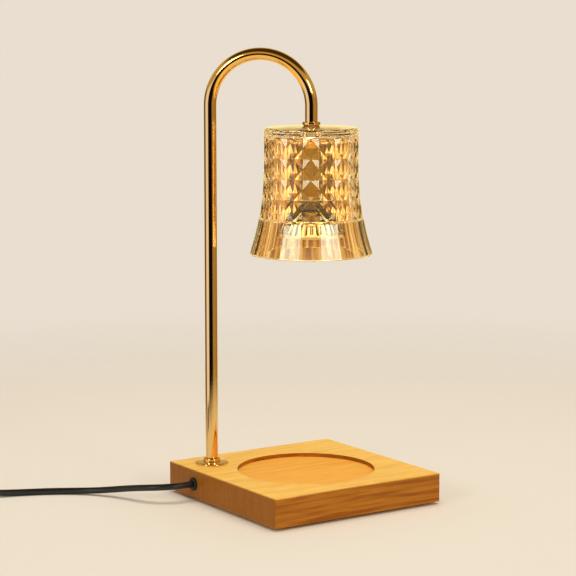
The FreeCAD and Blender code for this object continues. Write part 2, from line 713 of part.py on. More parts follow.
nipple_low = "post_nut_low - stack_stub"
nipple = tube_stub("post_nipple", "nipple_dia", "nipple_bore", "tube_foot + nipple_grip - (%s)" % nipple_low)
keep(put(nipple, "post_x", "post_y", nipple_low), "post_nipple")

flat_washer = tube_stub("flat_washer", "washer_dia", "stem_hole", "washer_thick")
put(flat_washer, "post_x", "post_y", "spot_roof - washer_thick")
spring_ring = tube_stub("spring_ring", "spring_washer_dia", "stem_hole", "spring_washer_thick")
put(spring_ring, z="spot_roof - washer_thick - spring_washer_thick", x="post_x", y="post_y")
split = box("washer_split", "spring_washer_dia", "washer_slit", "spring_washer_thick + 2")
put(
    split,
    "post_x",
    "post_y - washer_slit / 2",
    "spot_roof - washer_thick - spring_washer_thick - 1",
)
spring_washer = cut("spring_washer", spring_ring, [split])
keep(group("post_washers", [flat_washer, spring_washer]), "post_washers")

post_nut = hex_nut("post_nut", "nut_across", "nut_thick", "nipple_dia + 2 * thread_gap")
keep(put(post_nut, "post_x", "post_y", "post_nut_low"), "post_nut")

# ---------------------------------------------------------------- shade and its fixing

on_shade_axis = {"x": "shade_x", "y": "shade_y"}
seat = "top_collar_thick - collar_seat"
top_collar = lathe(
    "shade_collar",
    [
        ("stem_hole / 2", "0"),
        ("top_collar_dia / 2", "0"),
        ("top_collar_dia / 2", "top_collar_thick"),
        ("tube_dia / 2 + thread_gap", "top_collar_thick"),
        ("tube_dia / 2 + thread_gap", seat),
        ("stem_hole / 2", seat),
    ],
)
dress(
    top_collar,
    "Fillet",
    "top_collar_round",
    lambda edge: len(edge.Vertexes) == 1 and edge.Curve.Radius > mm("top_collar_dia") / 2 - 0.1,
)
keep(put(top_collar, z="top_collar_low", **on_shade_axis), "shade_collar")

seals = [
    put(tube_stub("seal_above", "seal_dia", "stem_hole", "seal_thick"), z="glass_top", **on_shade_axis),
    put(
        tube_stub("seal_below", "washer_dia", "stem_hole", "seal_thick"),
        z="glass_under - seal_thick",
        **on_shade_axis,
    ),
]
keep(group("shade_seals", seals), "shade_seals")

shade_washer = tube_stub("shade_washer", "washer_dia", "stem_hole", "washer_thick")
keep(put(shade_washer, z="shade_washer_low", **on_shade_axis), "shade_washer")
shade_nut = hex_nut("shade_nut", "nut_across", "nut_thick", "nipple_dia + 2 * thread_gap")
keep(put(shade_nut, z="cup_top", **on_shade_axis), "shade_nut")
shade_nipple_low = "cup_nut_low - stack_stub"
shade_nipple = tube_stub(
    "shade_nipple", "nipple_dia", "nipple_bore", "tube_end + nipple_grip - (%s)" % shade_nipple_low
)
keep(put(shade_nipple, z=shade_nipple_low, **on_shade_axis), "shade_nipple")


def glass_radius(height):
    """Outside radius at a height above the rim: a straight waist that flares out by a power of the drop."""
    drop = max(0.0, 1 - height / mm("flare_height"))
    waist, rim = mm("waist_dia") / 2, mm("rim_dia") / 2
    return waist + (rim - waist) * drop ** mm("flare_power")


def glass_shell():
    """The pressed outside: flat skirt panels, rows of cells whose corners lie in, a band and a shoulder.

    Each cell has a folded rhombus between the middles of its sides, and a small triangle in each corner.
    """
    columns, rows = int(mm("facet_columns")), int(mm("facet_rows"))
    pitch = 2 * math.pi / columns
    facing_post = math.radians(135)
    deep = mm("facet_depth")

    def spot_at(step, radius, height):
        angle = facing_post + (step - 0.5) * pitch
        return VEC(radius * math.cos(angle), radius * math.sin(angle), height)

    def edges_at(height, inset=0.0):
        return [spot_at(i, glass_radius(height) - inset, height) for i in range(columns)]

    def middles_at(height, inset=0.0):
        return [spot_at(i + 0.5, glass_radius(height) - inset, height) for i in range(columns)]

    faces = []

    def face(*corners):
        faces.append(Part.Face(Part.makePolygon(list(corners) + [corners[0]])))

    low, tall, gap = mm("facet_low"), mm("cells_high / facet_rows"), mm("skirt_gap")
    skirt_top = low - gap
    panel_count = 4
    skirt = [edges_at(skirt_top * k / panel_count) for k in range(panel_count + 1)]
    after = [(i + 1) % columns for i in range(columns)]
    for below, above in zip(skirt, skirt[1:]):
        for i in range(columns):
            face(below[i], below[after[i]], above[after[i]], above[i])
    face(*reversed(skirt[0]))

    corners, middles = edges_at(low, deep), middles_at(low)
    for i in range(columns):
        a, b = skirt[-1][i], skirt[-1][after[i]]
        face(a, middles[i], corners[i])
        face(a, b, middles[i])
        face(b, corners[after[i]], middles[i])

    for row in range(rows):
        sides = edges_at(low + (row + 0.5) * tall)
        next_corners = edges_at(low + (row + 1) * tall, deep)
        next_middles = middles_at(low + (row + 1) * tall)
        for i in range(columns):
            j = after[i]
            face(corners[i], middles[i], sides[i])
            face(middles[i], corners[j], sides[j])
            face(middles[i], next_middles[i], sides[i])
            face(middles[i], sides[j], next_middles[i])
            face(sides[i], next_middles[i], next_corners[i])
            face(sides[j], next_corners[j], next_middles[i])
        corners, middles = next_corners, next_middles

    band_low = low + rows * tall + gap
    height = mm("glass_height")
    shoulder = height - mm("crown_rise")
    drop = mm("shoulder_drop")
    band = [p for pair in zip(edges_at(band_low), middles_at(band_low)) for p in pair]
    for i in range(columns):
        a, b, c = band[2 * i], band[2 * i + 1], band[(2 * i + 2) % len(band)]
        face(corners[i], middles[i], b)
        face(corners[i], b, a)
        face(middles[i], corners[after[i]], c)
        face(middles[i], c, b)
    waist = glass_radius(height)
    rings = []
    for part_way in (0.0, 0.25, 0.5, 0.75, 1.0):
        angle = part_way * math.pi / 2
        rings.append((waist - drop * (1 - math.cos(angle)), shoulder - drop * (1 - math.sin(angle))))
    rings.append((mm("crown_dia") / 2, height))
    for radius, level in rings:
        above = [spot_at(i / 2, radius, level) for i in range(2 * columns)]
        for i in range(2 * columns):
            j = (i + 1) % (2 * columns)
            face(band[i], band[j], above[j], above[i])
        band = above
    face(*band)
    return Part.makeSolid(Part.makeShell(faces))


def glass_hollow():
    """The smooth inside, which keeps the wall to the outside, and the stem hole."""
    wall, flare = mm("glass_wall"), mm("flare_height")
    roof = mm("glass_height - glass_roof")
    curve_round = mm("shoulder_round")
    inner = mm("waist_dia") / 2 - wall
    mouth = glass_radius(0) - wall
    steps = 8
    bell = [VEC(glass_radius(flare * k / steps) - wall, 0, flare * k / steps) for k in range(steps + 1)]
    bend = Part.BSplineCurve()
    bend.interpolate(bell)
    corner_in = VEC(inner - curve_round * (1 - math.sqrt(0.5)), 0, roof - curve_round * (1 - math.sqrt(0.5)))
    hole = mm("nipple_dia") / 2 + mm("glass_hole_gap")
    above = mm("glass_height") + 1
    edges = [
        Part.makeLine(VEC(0, 0, -1), VEC(mouth, 0, -1)),
        Part.makeLine(VEC(mouth, 0, -1), VEC(mouth, 0, 0)),
        bend.toShape(),
        Part.makeLine(VEC(inner, 0, flare), VEC(inner, 0, roof - curve_round)),
        Part.Arc(VEC(inner, 0, roof - curve_round), corner_in, VEC(inner - curve_round, 0, roof)).toShape(),
        Part.makeLine(VEC(inner - curve_round, 0, roof), VEC(hole, 0, roof)),
        Part.makeLine(VEC(hole, 0, roof), VEC(hole, 0, above)),
        Part.makeLine(VEC(hole, 0, above), VEC(0, 0, above)),
        Part.makeLine(VEC(0, 0, above), VEC(0, 0, -1)),
    ]
    return Part.Face(Part.Wire(edges)).revolve(VEC(0, 0, 0), UP, 360)


glass = solid_node("glass_shade", glass_shell().cut(glass_hollow()))
keep(put(glass, z="rim_level", **on_shade_axis), "glass_shade")

# ---------------------------------------------------------------- socket

cup_outer, cup_inner = "cup_dia / 2", "cup_bore / 2"
cup_blank = lathe(
    "cup_blank",
    [
        ("stem_hole / 2", "0"),
        ("cup_dia / 2 - cup_shoulder", "0"),
        (cup_outer, "-cup_shoulder"),
        (cup_outer, "-cup_height"),
        (cup_inner, "-cup_height"),
        (cup_inner, "-cup_shoulder - cup_wall"),
        ("cup_bore / 2 - cup_shoulder", "-cup_wall"),
        ("stem_hole / 2", "-cup_wall"),
    ],
)
side_screw_drop = "(cup_top - ceramic_top + (ceramic_height - slot_plate - chamber_height) / 2)"
cup_holes = []
for side, angle in (("right", 90), ("left", -90)):
    hole = cylinder("cup_hole_" + side, "screw_dia + 2 * thread_gap", "cup_dia")
    cup_holes.append(put(turn(hole, VEC(0, 1, 0), angle), z="0 - " + side_screw_drop))
cup = cut("socket_cup", cup_blank, cup_holes)
keep(put(cup, z="cup_top", **on_shade_axis), "socket_cup")

cup_nut = hex_nut("cup_nut", "cup_nut_across", "cup_nut_thick", "nipple_dia + 2 * thread_gap")
keep(put(cup_nut, z="cup_nut_low", **on_shade_axis), "cup_nut")

# Each pin goes in through a round hole and turns along an arc slot to its lock.
lock_angle = 90
ceramic_blank = cylinder("ceramic_blank", "ceramic_dia", "ceramic_height")
chamber = cylinder("pin_chamber", "chamber_dia", "chamber_height", z="slot_plate")
slot_tools = [chamber]
for number in (0, 1):
    start = lock_angle + 180 * number
    outer = cylinder("slot_outer_%d" % number, "pin_pitch + slot_width", "slot_plate + 2")
    bind(outer, {"Angle": "twist_angle"})
    inner = cylinder("slot_inner_%d" % number, "pin_pitch - slot_width", "slot_plate + 2")
    arc_slot = cut("slot_arc_%d" % number, outer, [inner])
    slot_tools.append(put(turn(arc_slot, UP, start), z="-1"))
    entry_dia = "pin_head_dia + 2 * hole_gap"
    for name, dia, extra in (("lock", "slot_width", "0"), ("entry", entry_dia, "twist_angle")):
        bearing = "(%d + %s) * 1deg" % (start, extra)
        hole = cylinder(
            "slot_%s_%d" % (name, number),
            dia,
            "slot_plate + 2",
            "pin_pitch / 2 * cos(%s)" % bearing,
            "pin_pitch / 2 * sin(%s)" % bearing,
            "-1",
        )
        slot_tools.append(hole)
screw_level = "(ceramic_height + slot_plate + chamber_height) / 2"
for side, angle in (("right", 90), ("left", -90)):
    pilot = cylinder("ceramic_pilot_" + side, "screw_dia + 2 * thread_gap", "ceramic_dia")
    turn(pilot, VEC(0, 1, 0), angle)
    away = "ceramic_dia / 2 - side_screw_bite - pilot_extra"
    slot_tools.append(put(pilot, away if side == "right" else "0 - (%s)" % away, "0", screw_level))
ceramic = cut("socket_ceramic", ceramic_blank, slot_tools)
keep(put(ceramic, z="ceramic_low", **on_shade_axis), "socket_ceramic")

side_screws = []
for side, sign, angle in (("right", "", -90), ("left", "-", 90)):
    side_screw = pan_screw("side_screw_" + side, "cup_wall + ceramic_gap + side_screw_bite")
    turn(side_screw, VEC(0, 1, 0), angle)
    x = "shade_x %s cup_dia / 2" % ("+" if sign == "" else "-")
    side_screws.append(put(side_screw, x, "shade_y", "cup_top - " + side_screw_drop))
keep(group("socket_screws", side_screws), "socket_screws")

contacts = []
leaf_level = "ceramic_low + pin_length - bulb_gap + contact_gap"
for number, sign in ((0, "+"), (1, "-")):
    middle_y = "shade_y %s pin_pitch / 2" % sign
    leaf = box("leaf_%d" % number, "contact_width", "pin_dia", "contact_thick", "shade_x", middle_y, leaf_level)
    leg = box(
        "leg_%d" % number,
        "contact_thick",
        "pin_dia",
        "slot_plate + chamber_height - pin_length + bulb_gap - contact_gap",
        "shade_x",
        middle_y,
        leaf_level,
    )
    contacts.append(fuse("contact_%d" % number, [leaf, leg]))
keep(group("socket_contacts", contacts), "socket_contacts")

# ---------------------------------------------------------------- bulb, from its shoulder down

base_blank = lathe(
    "bulb_base_blank",
    [
        ("0", "0"),
        ("bulb_base_dia / 2 - bulb_base_edge", "0"),
        ("bulb_base_dia / 2", "-bulb_base_edge"),
        ("bulb_base_dia / 2", "-bulb_base_length"),
        ("capsule_dia / 2 + hole_gap", "-bulb_base_length"),
        ("capsule_dia / 2 + hole_gap", "-bulb_base_length + capsule_root"),
        ("0", "-bulb_base_length + capsule_root"),
    ],
)
pin_spots = [("0", "pin_pitch / 2"), ("0", "0 - pin_pitch / 2")]
pin_holes = [
    cylinder("pin_hole_%d" % i, "pin_dia + 2 * thread_gap", "pin_root + 1", across, up, "-pin_root")
    for i, (across, up) in enumerate(pin_spots)
]
bulb_base = cut("bulb_base", base_blank, pin_holes)
keep(put(bulb_base, z="bulb_top", **on_shade_axis), "bulb_base")

pins = []
for i, (across, up) in enumerate(pin_spots):
    neck = cylinder("pin_neck_%d" % i, "pin_dia", "pin_root + pin_length", across, up, "-pin_root")
    head = cylinder(
        "pin_head_%d" % i, "pin_head_dia", "pin_head_thick", across, up, "pin_length - pin_head_thick"
    )
    pins.append(fuse("pin_%d" % i, [neck, head]))
keep(put(group("bulb_pins", pins), z="bulb_top", **on_shade_axis), "bulb_pins")

ferrule = tube_stub("bulb_ferrule", "ferrule_dia", "bulb_base_dia + 2 * thread_gap", "ferrule_length")
ferrule_low = "bulb_top - bulb_base_length + ferrule_overlap - ferrule_length"
keep(put(ferrule, z=ferrule_low, **on_shade_axis), "bulb_ferrule")

neck_end = "-bulb_length + rim_band + bowl_height"
bowl_shape = [(0.0, 0.0), (0.24, 0.14), (0.55, 0.4), (0.8, 0.7), (0.97, 1.0)]
outside, inside = [], []
for across, down in bowl_shape:
    height = "%s - bowl_height * %s" % (neck_end, down)
    bowl_radius = "neck_dia / 2 + (bulb_front_dia - neck_dia) / 2 * %s" % across
    outside.append((bowl_radius, height))
    inside.append((bowl_radius + " - reflector_wall", height + " - bowl_drop"))
lens_seat = "-bulb_length + lens_inset + lens_thick + thread_gap"
reflector = lathe(
    "bulb_reflector",
    [("neck_dia / 2", "-bulb_base_length - neck_gap")]
    + outside
    + [
        ("bulb_front_dia / 2", "-bulb_length + rim_band - rim_slant"),
        ("bulb_front_dia / 2", "-bulb_length"),
        ("lens_dia / 2 + thread_gap", "-bulb_length"),
        ("lens_dia / 2 + thread_gap", lens_seat),
        ("lens_dia / 2 - lens_ledge", lens_seat),
    ]
    + inside[:-1][::-1]
    + [("neck_dia / 2 - reflector_wall", "-bulb_base_length - neck_gap")],
)
keep(put(reflector, z="bulb_top", **on_shade_axis), "bulb_reflector")

lens = cylinder("bulb_lens", "lens_dia", "lens_thick")
keep(put(lens, z="bulb_top - bulb_length + lens_inset", **on_shade_axis), "bulb_lens")

capsule_top = "-bulb_base_length + capsule_root"
capsule_low = "%s - capsule_length" % capsule_top
capsule = lathe(
    "bulb_capsule",
    [
        ("0", capsule_top),
        ("capsule_dia / 2", capsule_top),
        ("capsule_dia / 2", capsule_low + " + capsule_dia / 3"),
        ("capsule_dia / 4", capsule_low + " + capsule_dia / 12"),
        ("0", capsule_low),
        ("0", capsule_low + " + capsule_wall"),
        ("capsule_dia / 4 - capsule_wall / 2", capsule_low + " + capsule_dia / 12 + capsule_wall"),
        ("capsule_dia / 2 - capsule_wall", capsule_low + " + capsule_dia / 3 + capsule_wall"),
        ("capsule_dia / 2 - capsule_wall", capsule_top + " - capsule_root"),
        ("0", capsule_top + " - capsule_root"),
    ],
)
keep(put(capsule, z="bulb_top", **on_shade_axis), "bulb_capsule")

wire_length = "(capsule_length - capsule_root) / 2"
wires = []
for i, sign in enumerate(("-", "+")):
    x = "0 %s wire_pitch / 2" % sign
    wire_low = "-bulb_base_length - " + wire_length
    wires.append(cylinder("filament_wire_%d" % i, "wire_dia", wire_length, x, "0", wire_low))
coil_rod = turn(cylinder("filament_coil", "filament_dia", "filament_length"), VEC(0, 1, 0), 90)
put(coil_rod, "0 - filament_length / 2", "0", "-bulb_base_length - " + wire_length)
filament = fuse("bulb_filament", wires + [coil_rod])
keep(put(filament, z="bulb_top", **on_shade_axis), "bulb_filament")

# ---------------------------------------------------------------- cords


def bent_rod(points, dia):
    """A round rod along straight runs joined by tangent arcs, and its length.

    Each arc's radius is 0.45 of the shorter run beside its corner, over the tangent of half the turn.
    """
    edges, here, length, radii = [], points[0], 0.0, []
    for before, corner, after in zip(points, points[1:], points[2:]):
        back, ahead = before - corner, after - corner
        trim = 0.45 * min(back.Length, ahead.Length)
        back.normalize()
        ahead.normalize()
        half_turn = (math.pi - back.getAngle(ahead)) / 2
        radius = trim / math.tan(half_turn)
        start, end = corner + back * trim, corner + ahead * trim
        inward = (back + ahead).normalize()
        middle = corner + inward * (radius / math.cos(half_turn) - radius)
        edges.append(Part.LineSegment(here, start).toShape())
        edges.append(Part.Arc(start, middle, end).toShape())
        radii.append(radius)
        here = end
    edges.append(Part.LineSegment(here, points[-1]).toShape())
    wire = Part.Wire(edges)
    first = (points[1] - points[0]).normalize()
    section = Part.Wire(Part.Circle(points[0], first, dia / 2).toShape())
    rod = wire.makePipeShell([section], True, False)
    length = wire.Length
    expected = math.pi * dia**2 / 4 * length
    if abs(rod.Volume / expected - 1) > 0.01:
        raise RuntimeError("a cord's volume isn't its section times its length")
    return rod, length, radii


def cord(name, points, dia):
    rod, length, radii = bent_rod([VEC(*point) for point in points], dia)
    print("%s: %.0f mm long, radii %s" % (name, length, " ".join("%.0f" % r for r in radii)))
    return keep(solid_node(name, rod), name)


cord_dia = mm("cord_dia")
exit_x, exit_y, exit_z = mm("cord_exit_x"), mm("cord_exit_y"), mm("cord_level")
case_z = mm("dimmer_height") / 2

# Offsets from the exit along X and Y, and heights above the table.
lead_route = [
    (0.0, 0.0, exit_z),
    (-11.7, 0.0, exit_z),
    (-22.7, 4.8, exit_z - 0.4),
    (-30.9, 13.7, exit_z - 1.4),
    (-36.0, 26.1, 9.6),
    (-41.7, 40.5, 6.7),
    (-50.7, 55.0, 3.9),
    (-63.7, 68.0, 2.7),
    (-81.2, 79.0, 2.6),
    (-100.7, 87.5, 2.6),
    (-117.2, 92.8, 3.2),
    (-131.7, 96.6, 5.0),
    (-144.7, 99.0, 7.4),
    (-156.2, 99.8, case_z),
    (-163.2, 99.8, case_z),
]
cord("cord_lead", [(exit_x + x, exit_y + y, z) for x, y, z in lead_route], cord_dia)

dimmer_x = exit_x + lead_route[-1][0] - mm("sleeve_length + dimmer_length / 2")
dimmer_y = exit_y + lead_route[-1][1]
tail_x = dimmer_x - mm("sleeve_length + dimmer_length / 2")

coil_low = mm("coil_lift") + cord_dia / 2
coil_high = coil_low + cord_dia
entry_radius = mm("coil_mean_dia") / 2 + 1.5 * cord_dia
leave_radius = mm("coil_mean_dia") / 2 + cord_dia
tail_route = [
    (0.0, 0.0, case_z),
    (-11.7, 0.0, case_z),
    (-22.6, -4.6, 7.4),
    (-31.2, -13.4, 5.5),
    (-35.9, -25.6, 4.2),
    (-37.6, -39.2, coil_low),
    (-37.2, -52.4, coil_low),
    (-36.0, -65.4, coil_low),
]
cord("cord_tail", [(tail_x + x, dimmer_y + y, z) for x, y, z in tail_route], cord_dia)

coil_x = tail_x + tail_route[-1][0] + entry_radius
coil_y = dimmer_y + tail_route[-1][1]
end_x = coil_x - leave_radius
plug_z = mm("plug_high / 2 + plug_lift")
end_route = [
    (0.0, 0.0, coil_high),
    (-0.4, -12.0, coil_high - 0.05),
    (0.3, -23.5, coil_high - 0.25),
    (1.6, -34.5, plug_z),
    (1.6, -44.0, plug_z),
]
cord("cord_end", [(end_x + x, coil_y + y, z) for x, y, z in end_route], cord_dia)

bundle = Part.makeCylinder(mm("coil_mean_dia + coil_across") / 2, mm("coil_high"), VEC(0, 0, mm("coil_lift")))
eye_radius = mm("coil_mean_dia - coil_across") / 2
eye = Part.makeCylinder(eye_radius, mm("coil_high") + 2, VEC(0, 0, mm("coil_lift") - 1))
hank = bundle.cut(eye)
hank = hank.makeFillet(mm("cord_dia / 2 - hole_gap"), [edge for edge in hank.Edges if len(edge.Vertexes) == 1])
coil = solid_node("cord_coil", hank)
coil.Placement = FreeCAD.Placement(VEC(coil_x, coil_y, 0), FreeCAD.Rotation())
keep(coil, "cord_coil")

# The pair of leads makes a loop in the cavity, then follows the nipple, the tube and the second nipple.
loop_z = mm("cover_top + lead_gap + lead_dia / 2")
post_x, post_y = mm("post_x"), mm("post_y")
start_x = mm("sheath_end_x")
loop_far_x = mm("cavity_x + cavity_side / 2 - lead_dia")
loop_near_y = mm("cavity_y - cavity_side / 2 + lead_dia")
shade_x, shade_y = mm("shade_x"), mm("shade_y")
crown_steps = 6
climb = [
    (start_x, exit_y, exit_z),
    (start_x + 7, exit_y, exit_z),
    (start_x + 14, exit_y - 0.6, exit_z - 2.7),
    (start_x + 20.5, exit_y - 2.4, loop_z + 3),
    (loop_far_x - 4, exit_y - 7, loop_z + 0.6),
    (loop_far_x - 7, loop_near_y + 1.5, loop_z),
    ((loop_far_x + post_x) / 2 - 2.5, loop_near_y, loop_z),
    (post_x, loop_near_y + 4, loop_z),
    (post_x + 0.4, (loop_near_y + post_y) / 2 + 2, loop_z),
    (post_x, post_y - 6.5, loop_z),
    (post_x, post_y, loop_z),
    (post_x, post_y, loop_z + 9),
]
climb_rod, climb_length, _ = bent_rod([VEC(*point) for point in climb], mm("lead_dia"))
lead_disc = Part.Wire(Part.Circle(VEC(*climb[-1]), UP, mm("lead_dia") / 2).toShape())
heading = VEC(1, -1, 0).normalize()
bend_start = VEC(post_x, post_y, bend_z)
bend_top = bend_start + heading * (span / 2) + UP * (span / 2)
bend_end = bend_start + heading * span
lead_path = Part.Wire(
    [
        Part.LineSegment(VEC(*climb[-1]), bend_start).toShape(),
        Part.Arc(bend_start, bend_top, bend_end).toShape(),
        Part.LineSegment(bend_end, VEC(shade_x, shade_y, mm("ceramic_top"))).toShape(),
    ]
)
tube_rod = lead_path.makePipeShell([lead_disc], True, False)
print("lamp_leads: %.0f mm" % (climb_length + lead_path.Length))
keep(solid_node("lamp_leads", climb_rod.fuse(tube_rod).removeSplitter()), "lamp_leads")

# ---------------------------------------------------------------- in-line dimmer

inner_length, inner_width = "(dimmer_length - 2 * dimmer_wall)", "(dimmer_width - 2 * dimmer_wall)"
half_case = "dimmer_height / 2"
wheel_y = "(dimmer_width / 2 + wheel_reach - wheel_dia / 2)"
wheel_low = "(dimmer_wall + board_thick + pot_thick + wheel_gap)"
boss_spots = [("0 - boss_x", "0 - boss_y"), ("boss_x", "0 - boss_y")]


def half_shell(name, low, outer_level, mouth, upwards):
    """A rounded tray, open at the parting level, with a wheel slot and a hole for each sleeve."""
    shell = new_body(name + "_shell")
    outline = attach(shell, name + "_outline", "XY_Plane", low)
    rounded(outline, "0", "0", "dimmer_length", "dimmer_width", "dimmer_corner")
    pad(shell, outline, half_case)
    dress(shell, "Fillet", "dimmer_round", level_edge(outer_level))
    hollow = attach(shell, name + "_hollow", "XY_Plane", mouth)
    rounded(hollow, "0", "0", inner_length, inner_width, "dimmer_corner - dimmer_wall")
    pocket(shell, hollow, half_case + " - dimmer_wall", upwards=upwards)
    return shell


def wheel_slot(name):
    across = "wheel_dia + 2 * wheel_gap"
    return cylinder(name, across, "wheel_thick + 2 * wheel_gap", "0", wheel_y, wheel_low + " - wheel_gap")


def sleeve_hole(name):
    hole = turn(cylinder(name, "sleeve_neck_dia + 2 * thread_gap", "dimmer_length + 4"), VEC(0, 1, 0), 90)
    return put(hole, "0 - dimmer_length / 2 - 2", "0", half_case)


def at_dimmer(thing):
    """Moves a piece from the dimmer's own frame to its place on the cord."""
    thing.Placement = FreeCAD.Placement(VEC(dimmer_x, dimmer_y, 0), FreeCAD.Rotation())
    return thing


lower = half_shell("lower", "0", "0", half_case, upwards=False)
lower_bosses = [
    cylinder("lower_boss_%d" % i, "boss_dia", half_case + " - dimmer_wall / 2", x, y, "dimmer_wall / 2")
    for i, (x, y) in enumerate(boss_spots)
]
lower_holes = [
    cylinder("lower_screw_hole_%d" % i, "screw_dia + 2 * thread_gap", half_case + " + 2", x, y, "-1")
    for i, (x, y) in enumerate(boss_spots)
]
lower_sinks = [
    cylinder("lower_sink_%d" % i, "screw_head_dia + 2 * hole_gap", "dimmer_wall + 1", x, y, "-1")
    for i, (x, y) in enumerate(boss_spots)
]
lower_case = cut(
    "dimmer_base",
    fuse("lower_blank", [lower] + lower_bosses),
    [wheel_slot("lower_slot"), sleeve_hole("lower_sleeve_hole")] + lower_holes + lower_sinks,
)
keep(at_dimmer(lower_case), "dimmer_base")

upper = half_shell("upper", half_case, "dimmer_height", half_case, upwards=True)
upper_bosses = [
    cylinder("upper_boss_%d" % i, "boss_dia", half_case + " - dimmer_wall / 2", x, y, half_case)
    for i, (x, y) in enumerate(boss_spots)
]
bearing_low = wheel_low + " + wheel_thick + wheel_gap"
bearing_high = "dimmer_height - dimmer_wall / 2"
bearing = cylinder(
    "spindle_boss", "2 * spindle_dia", "%s - (%s)" % (bearing_high, bearing_low), "0", wheel_y, bearing_low
)
spindle_bore = "spindle_dia + 2 * spindle_gap"
spindle_high = "(dimmer_height - dimmer_wall - spindle_roof)"
pilot_dia = "screw_dia + 2 * thread_gap"
upper_holes = [
    cylinder("upper_pilot_%d" % i, pilot_dia, "case_screw_bite + pilot_extra + 1", x, y, half_case + " - 1")
    for i, (x, y) in enumerate(boss_spots)
]
upper_holes.append(
    cylinder(
        "bearing_bore",
        spindle_bore,
        "%s - (%s) + spindle_float" % (spindle_high, bearing_low),
        "0",
        wheel_y,
        bearing_low,
    )
)
upper_case = cut(
    "dimmer_lid",
    fuse("upper_blank", [upper, bearing] + upper_bosses),
    [wheel_slot("upper_slot"), sleeve_hole("upper_sleeve_hole")] + upper_holes,
)
keep(at_dimmer(upper_case), "dimmer_lid")

dimmer_screws = pieces_at(
    "dimmer_screws",
    lambda name: pan_screw(name, half_case + " - dimmer_wall + case_screw_bite"),
    [(x, y, "dimmer_wall") for x, y in boss_spots],
)
keep(at_dimmer(dimmer_screws), "dimmer_screws")

board = box("board", "board_length", "board_width", "board_thick", z="dimmer_wall")
keep(at_dimmer(group("board_place", [board])), "dimmer_board")

pot_can = cylinder("pot_can", "pot_dia", "pot_thick", "0", wheel_y, "dimmer_wall + board_thick")
bore_low = "dimmer_wall + board_thick + pot_floor"
pot_bore = cylinder("pot_bore", spindle_bore, "pot_thick + 1", "0", wheel_y, bore_low)
keep(at_dimmer(cut("dimmer_pot", pot_can, [pot_bore])), "dimmer_pot")

spindle_low = "(%s + spindle_float)" % bore_low
spindle = cylinder(
    "spindle", "spindle_dia", "%s - %s" % (spindle_high, spindle_low), "0", wheel_y, spindle_low
)
keep(at_dimmer(group("spindle_place", [spindle])), "dimmer_spindle")

wheel = new_body("dimmer_wheel")
wheel_outline = attach(wheel, "wheel_outline", "XY_Plane", wheel_low)
ring(wheel_outline, "0", "0", "wheel_dia")
ring(wheel_outline, "0", "0", "spindle_dia + 2 * thread_gap")
pad(wheel, wheel_outline, "wheel_thick")
dress(
    wheel,
    "Chamfer",
    "notch_dia / 3",
    lambda edge: len(edge.Vertexes) == 1 and edge.Curve.TypeId == "Part::GeomCircle" and edge.Curve.Radius > 6,
)
notch = attach(wheel, "grip_notch", "XY_Plane", wheel_low + " + wheel_thick")
ring(notch, "wheel_dia / 2 + notch_dia / 5", "0", "notch_dia")
notch_cut = pocket(wheel, notch, "wheel_thick")
notches = wheel.newObject("PartDesign::PolarPattern", "grip_notches")
notches.Originals = [notch_cut]
notches.Axis = (notch, ["N_Axis"])
notches.Angle = 360
notches.Occurrences = int(mm("wheel_ribs"))
wheel.Tip = notches
wheel.Placement = FreeCAD.Placement(VEC(dimmer_x, dimmer_y + mm(wheel_y), 0), FreeCAD.Rotation())
keep(wheel, "dimmer_wheel")

sleeves, stubs = [], []
for side, angle in (("near", 90), ("far", -90)):
    sleeve = lathe(
        "sleeve_" + side,
        [
            ("cord_dia / 2 + thread_gap", "0 - dimmer_wall - sleeve_lip - hole_gap"),
            ("sleeve_neck_dia / 2 + sleeve_lip_width", "0 - dimmer_wall - sleeve_lip - hole_gap"),
            ("sleeve_neck_dia / 2 + sleeve_lip_width", "0 - dimmer_wall - hole_gap"),
            ("sleeve_neck_dia / 2", "0 - dimmer_wall - hole_gap"),
            ("sleeve_neck_dia / 2", "0"),
            ("sleeve_dia / 2", "0"),
            ("sleeve_dia / 2", "sleeve_length / 5"),
            ("sleeve_tip_dia / 2", "sleeve_length"),
            ("cord_dia / 2 + thread_gap", "sleeve_length"),
        ],
    )
    sign = 1 if side == "near" else -1
    case_end = dimmer_x + sign * mm("dimmer_length") / 2
    sleeve.Placement = FreeCAD.Placement(VEC(case_end, dimmer_y, case_z), FreeCAD.Rotation(VEC(0, 1, 0), angle))
    sleeves.append(sleeve)
    stub = turn(cylinder("stub_" + side, "cord_dia", "sleeve_length + cord_tail_in"), VEC(0, 1, 0), angle)
    stubs.append(put(stub, str(case_end - sign * mm("cord_tail_in")), str(dimmer_y), str(case_z)))
keep(group("dimmer_sleeves", sleeves), "dimmer_sleeves")
keep(group("dimmer_cord_ends", stubs), "dimmer_cord_ends")

# ---------------------------------------------------------------- tie and plug

tie_gap, tie_thick, tie_width = mm("tie_gap"), mm("tie_thick"), mm("tie_width")
near_x = math.sqrt(mm("coil_mean_dia - coil_across") ** 2 / 4 - tie_width**2 / 4) - tie_gap
far_x = mm("coil_mean_dia + coil_across") / 2 + tie_gap
low_z, high_z = mm("coil_lift") - tie_gap, mm("coil_lift + coil_high") + tie_gap
tie_inner = Part.makeBox(far_x - near_x, tie_width + 2, high_z - low_z, VEC(near_x, -tie_width / 2 - 1, low_z))
tie_outer = Part.makeBox(
    far_x - near_x + 2 * tie_thick,
    tie_width,
    high_z - low_z + 2 * tie_thick,
    VEC(near_x - tie_thick, -tie_width / 2, low_z - tie_thick),
)
tie = solid_node("cord_tie", tie_outer.cut(tie_inner))
tie.Placement = FreeCAD.Placement(VEC(coil_x, coil_y, 0), FreeCAD.Rotation())
keep(tie, "cord_tie")

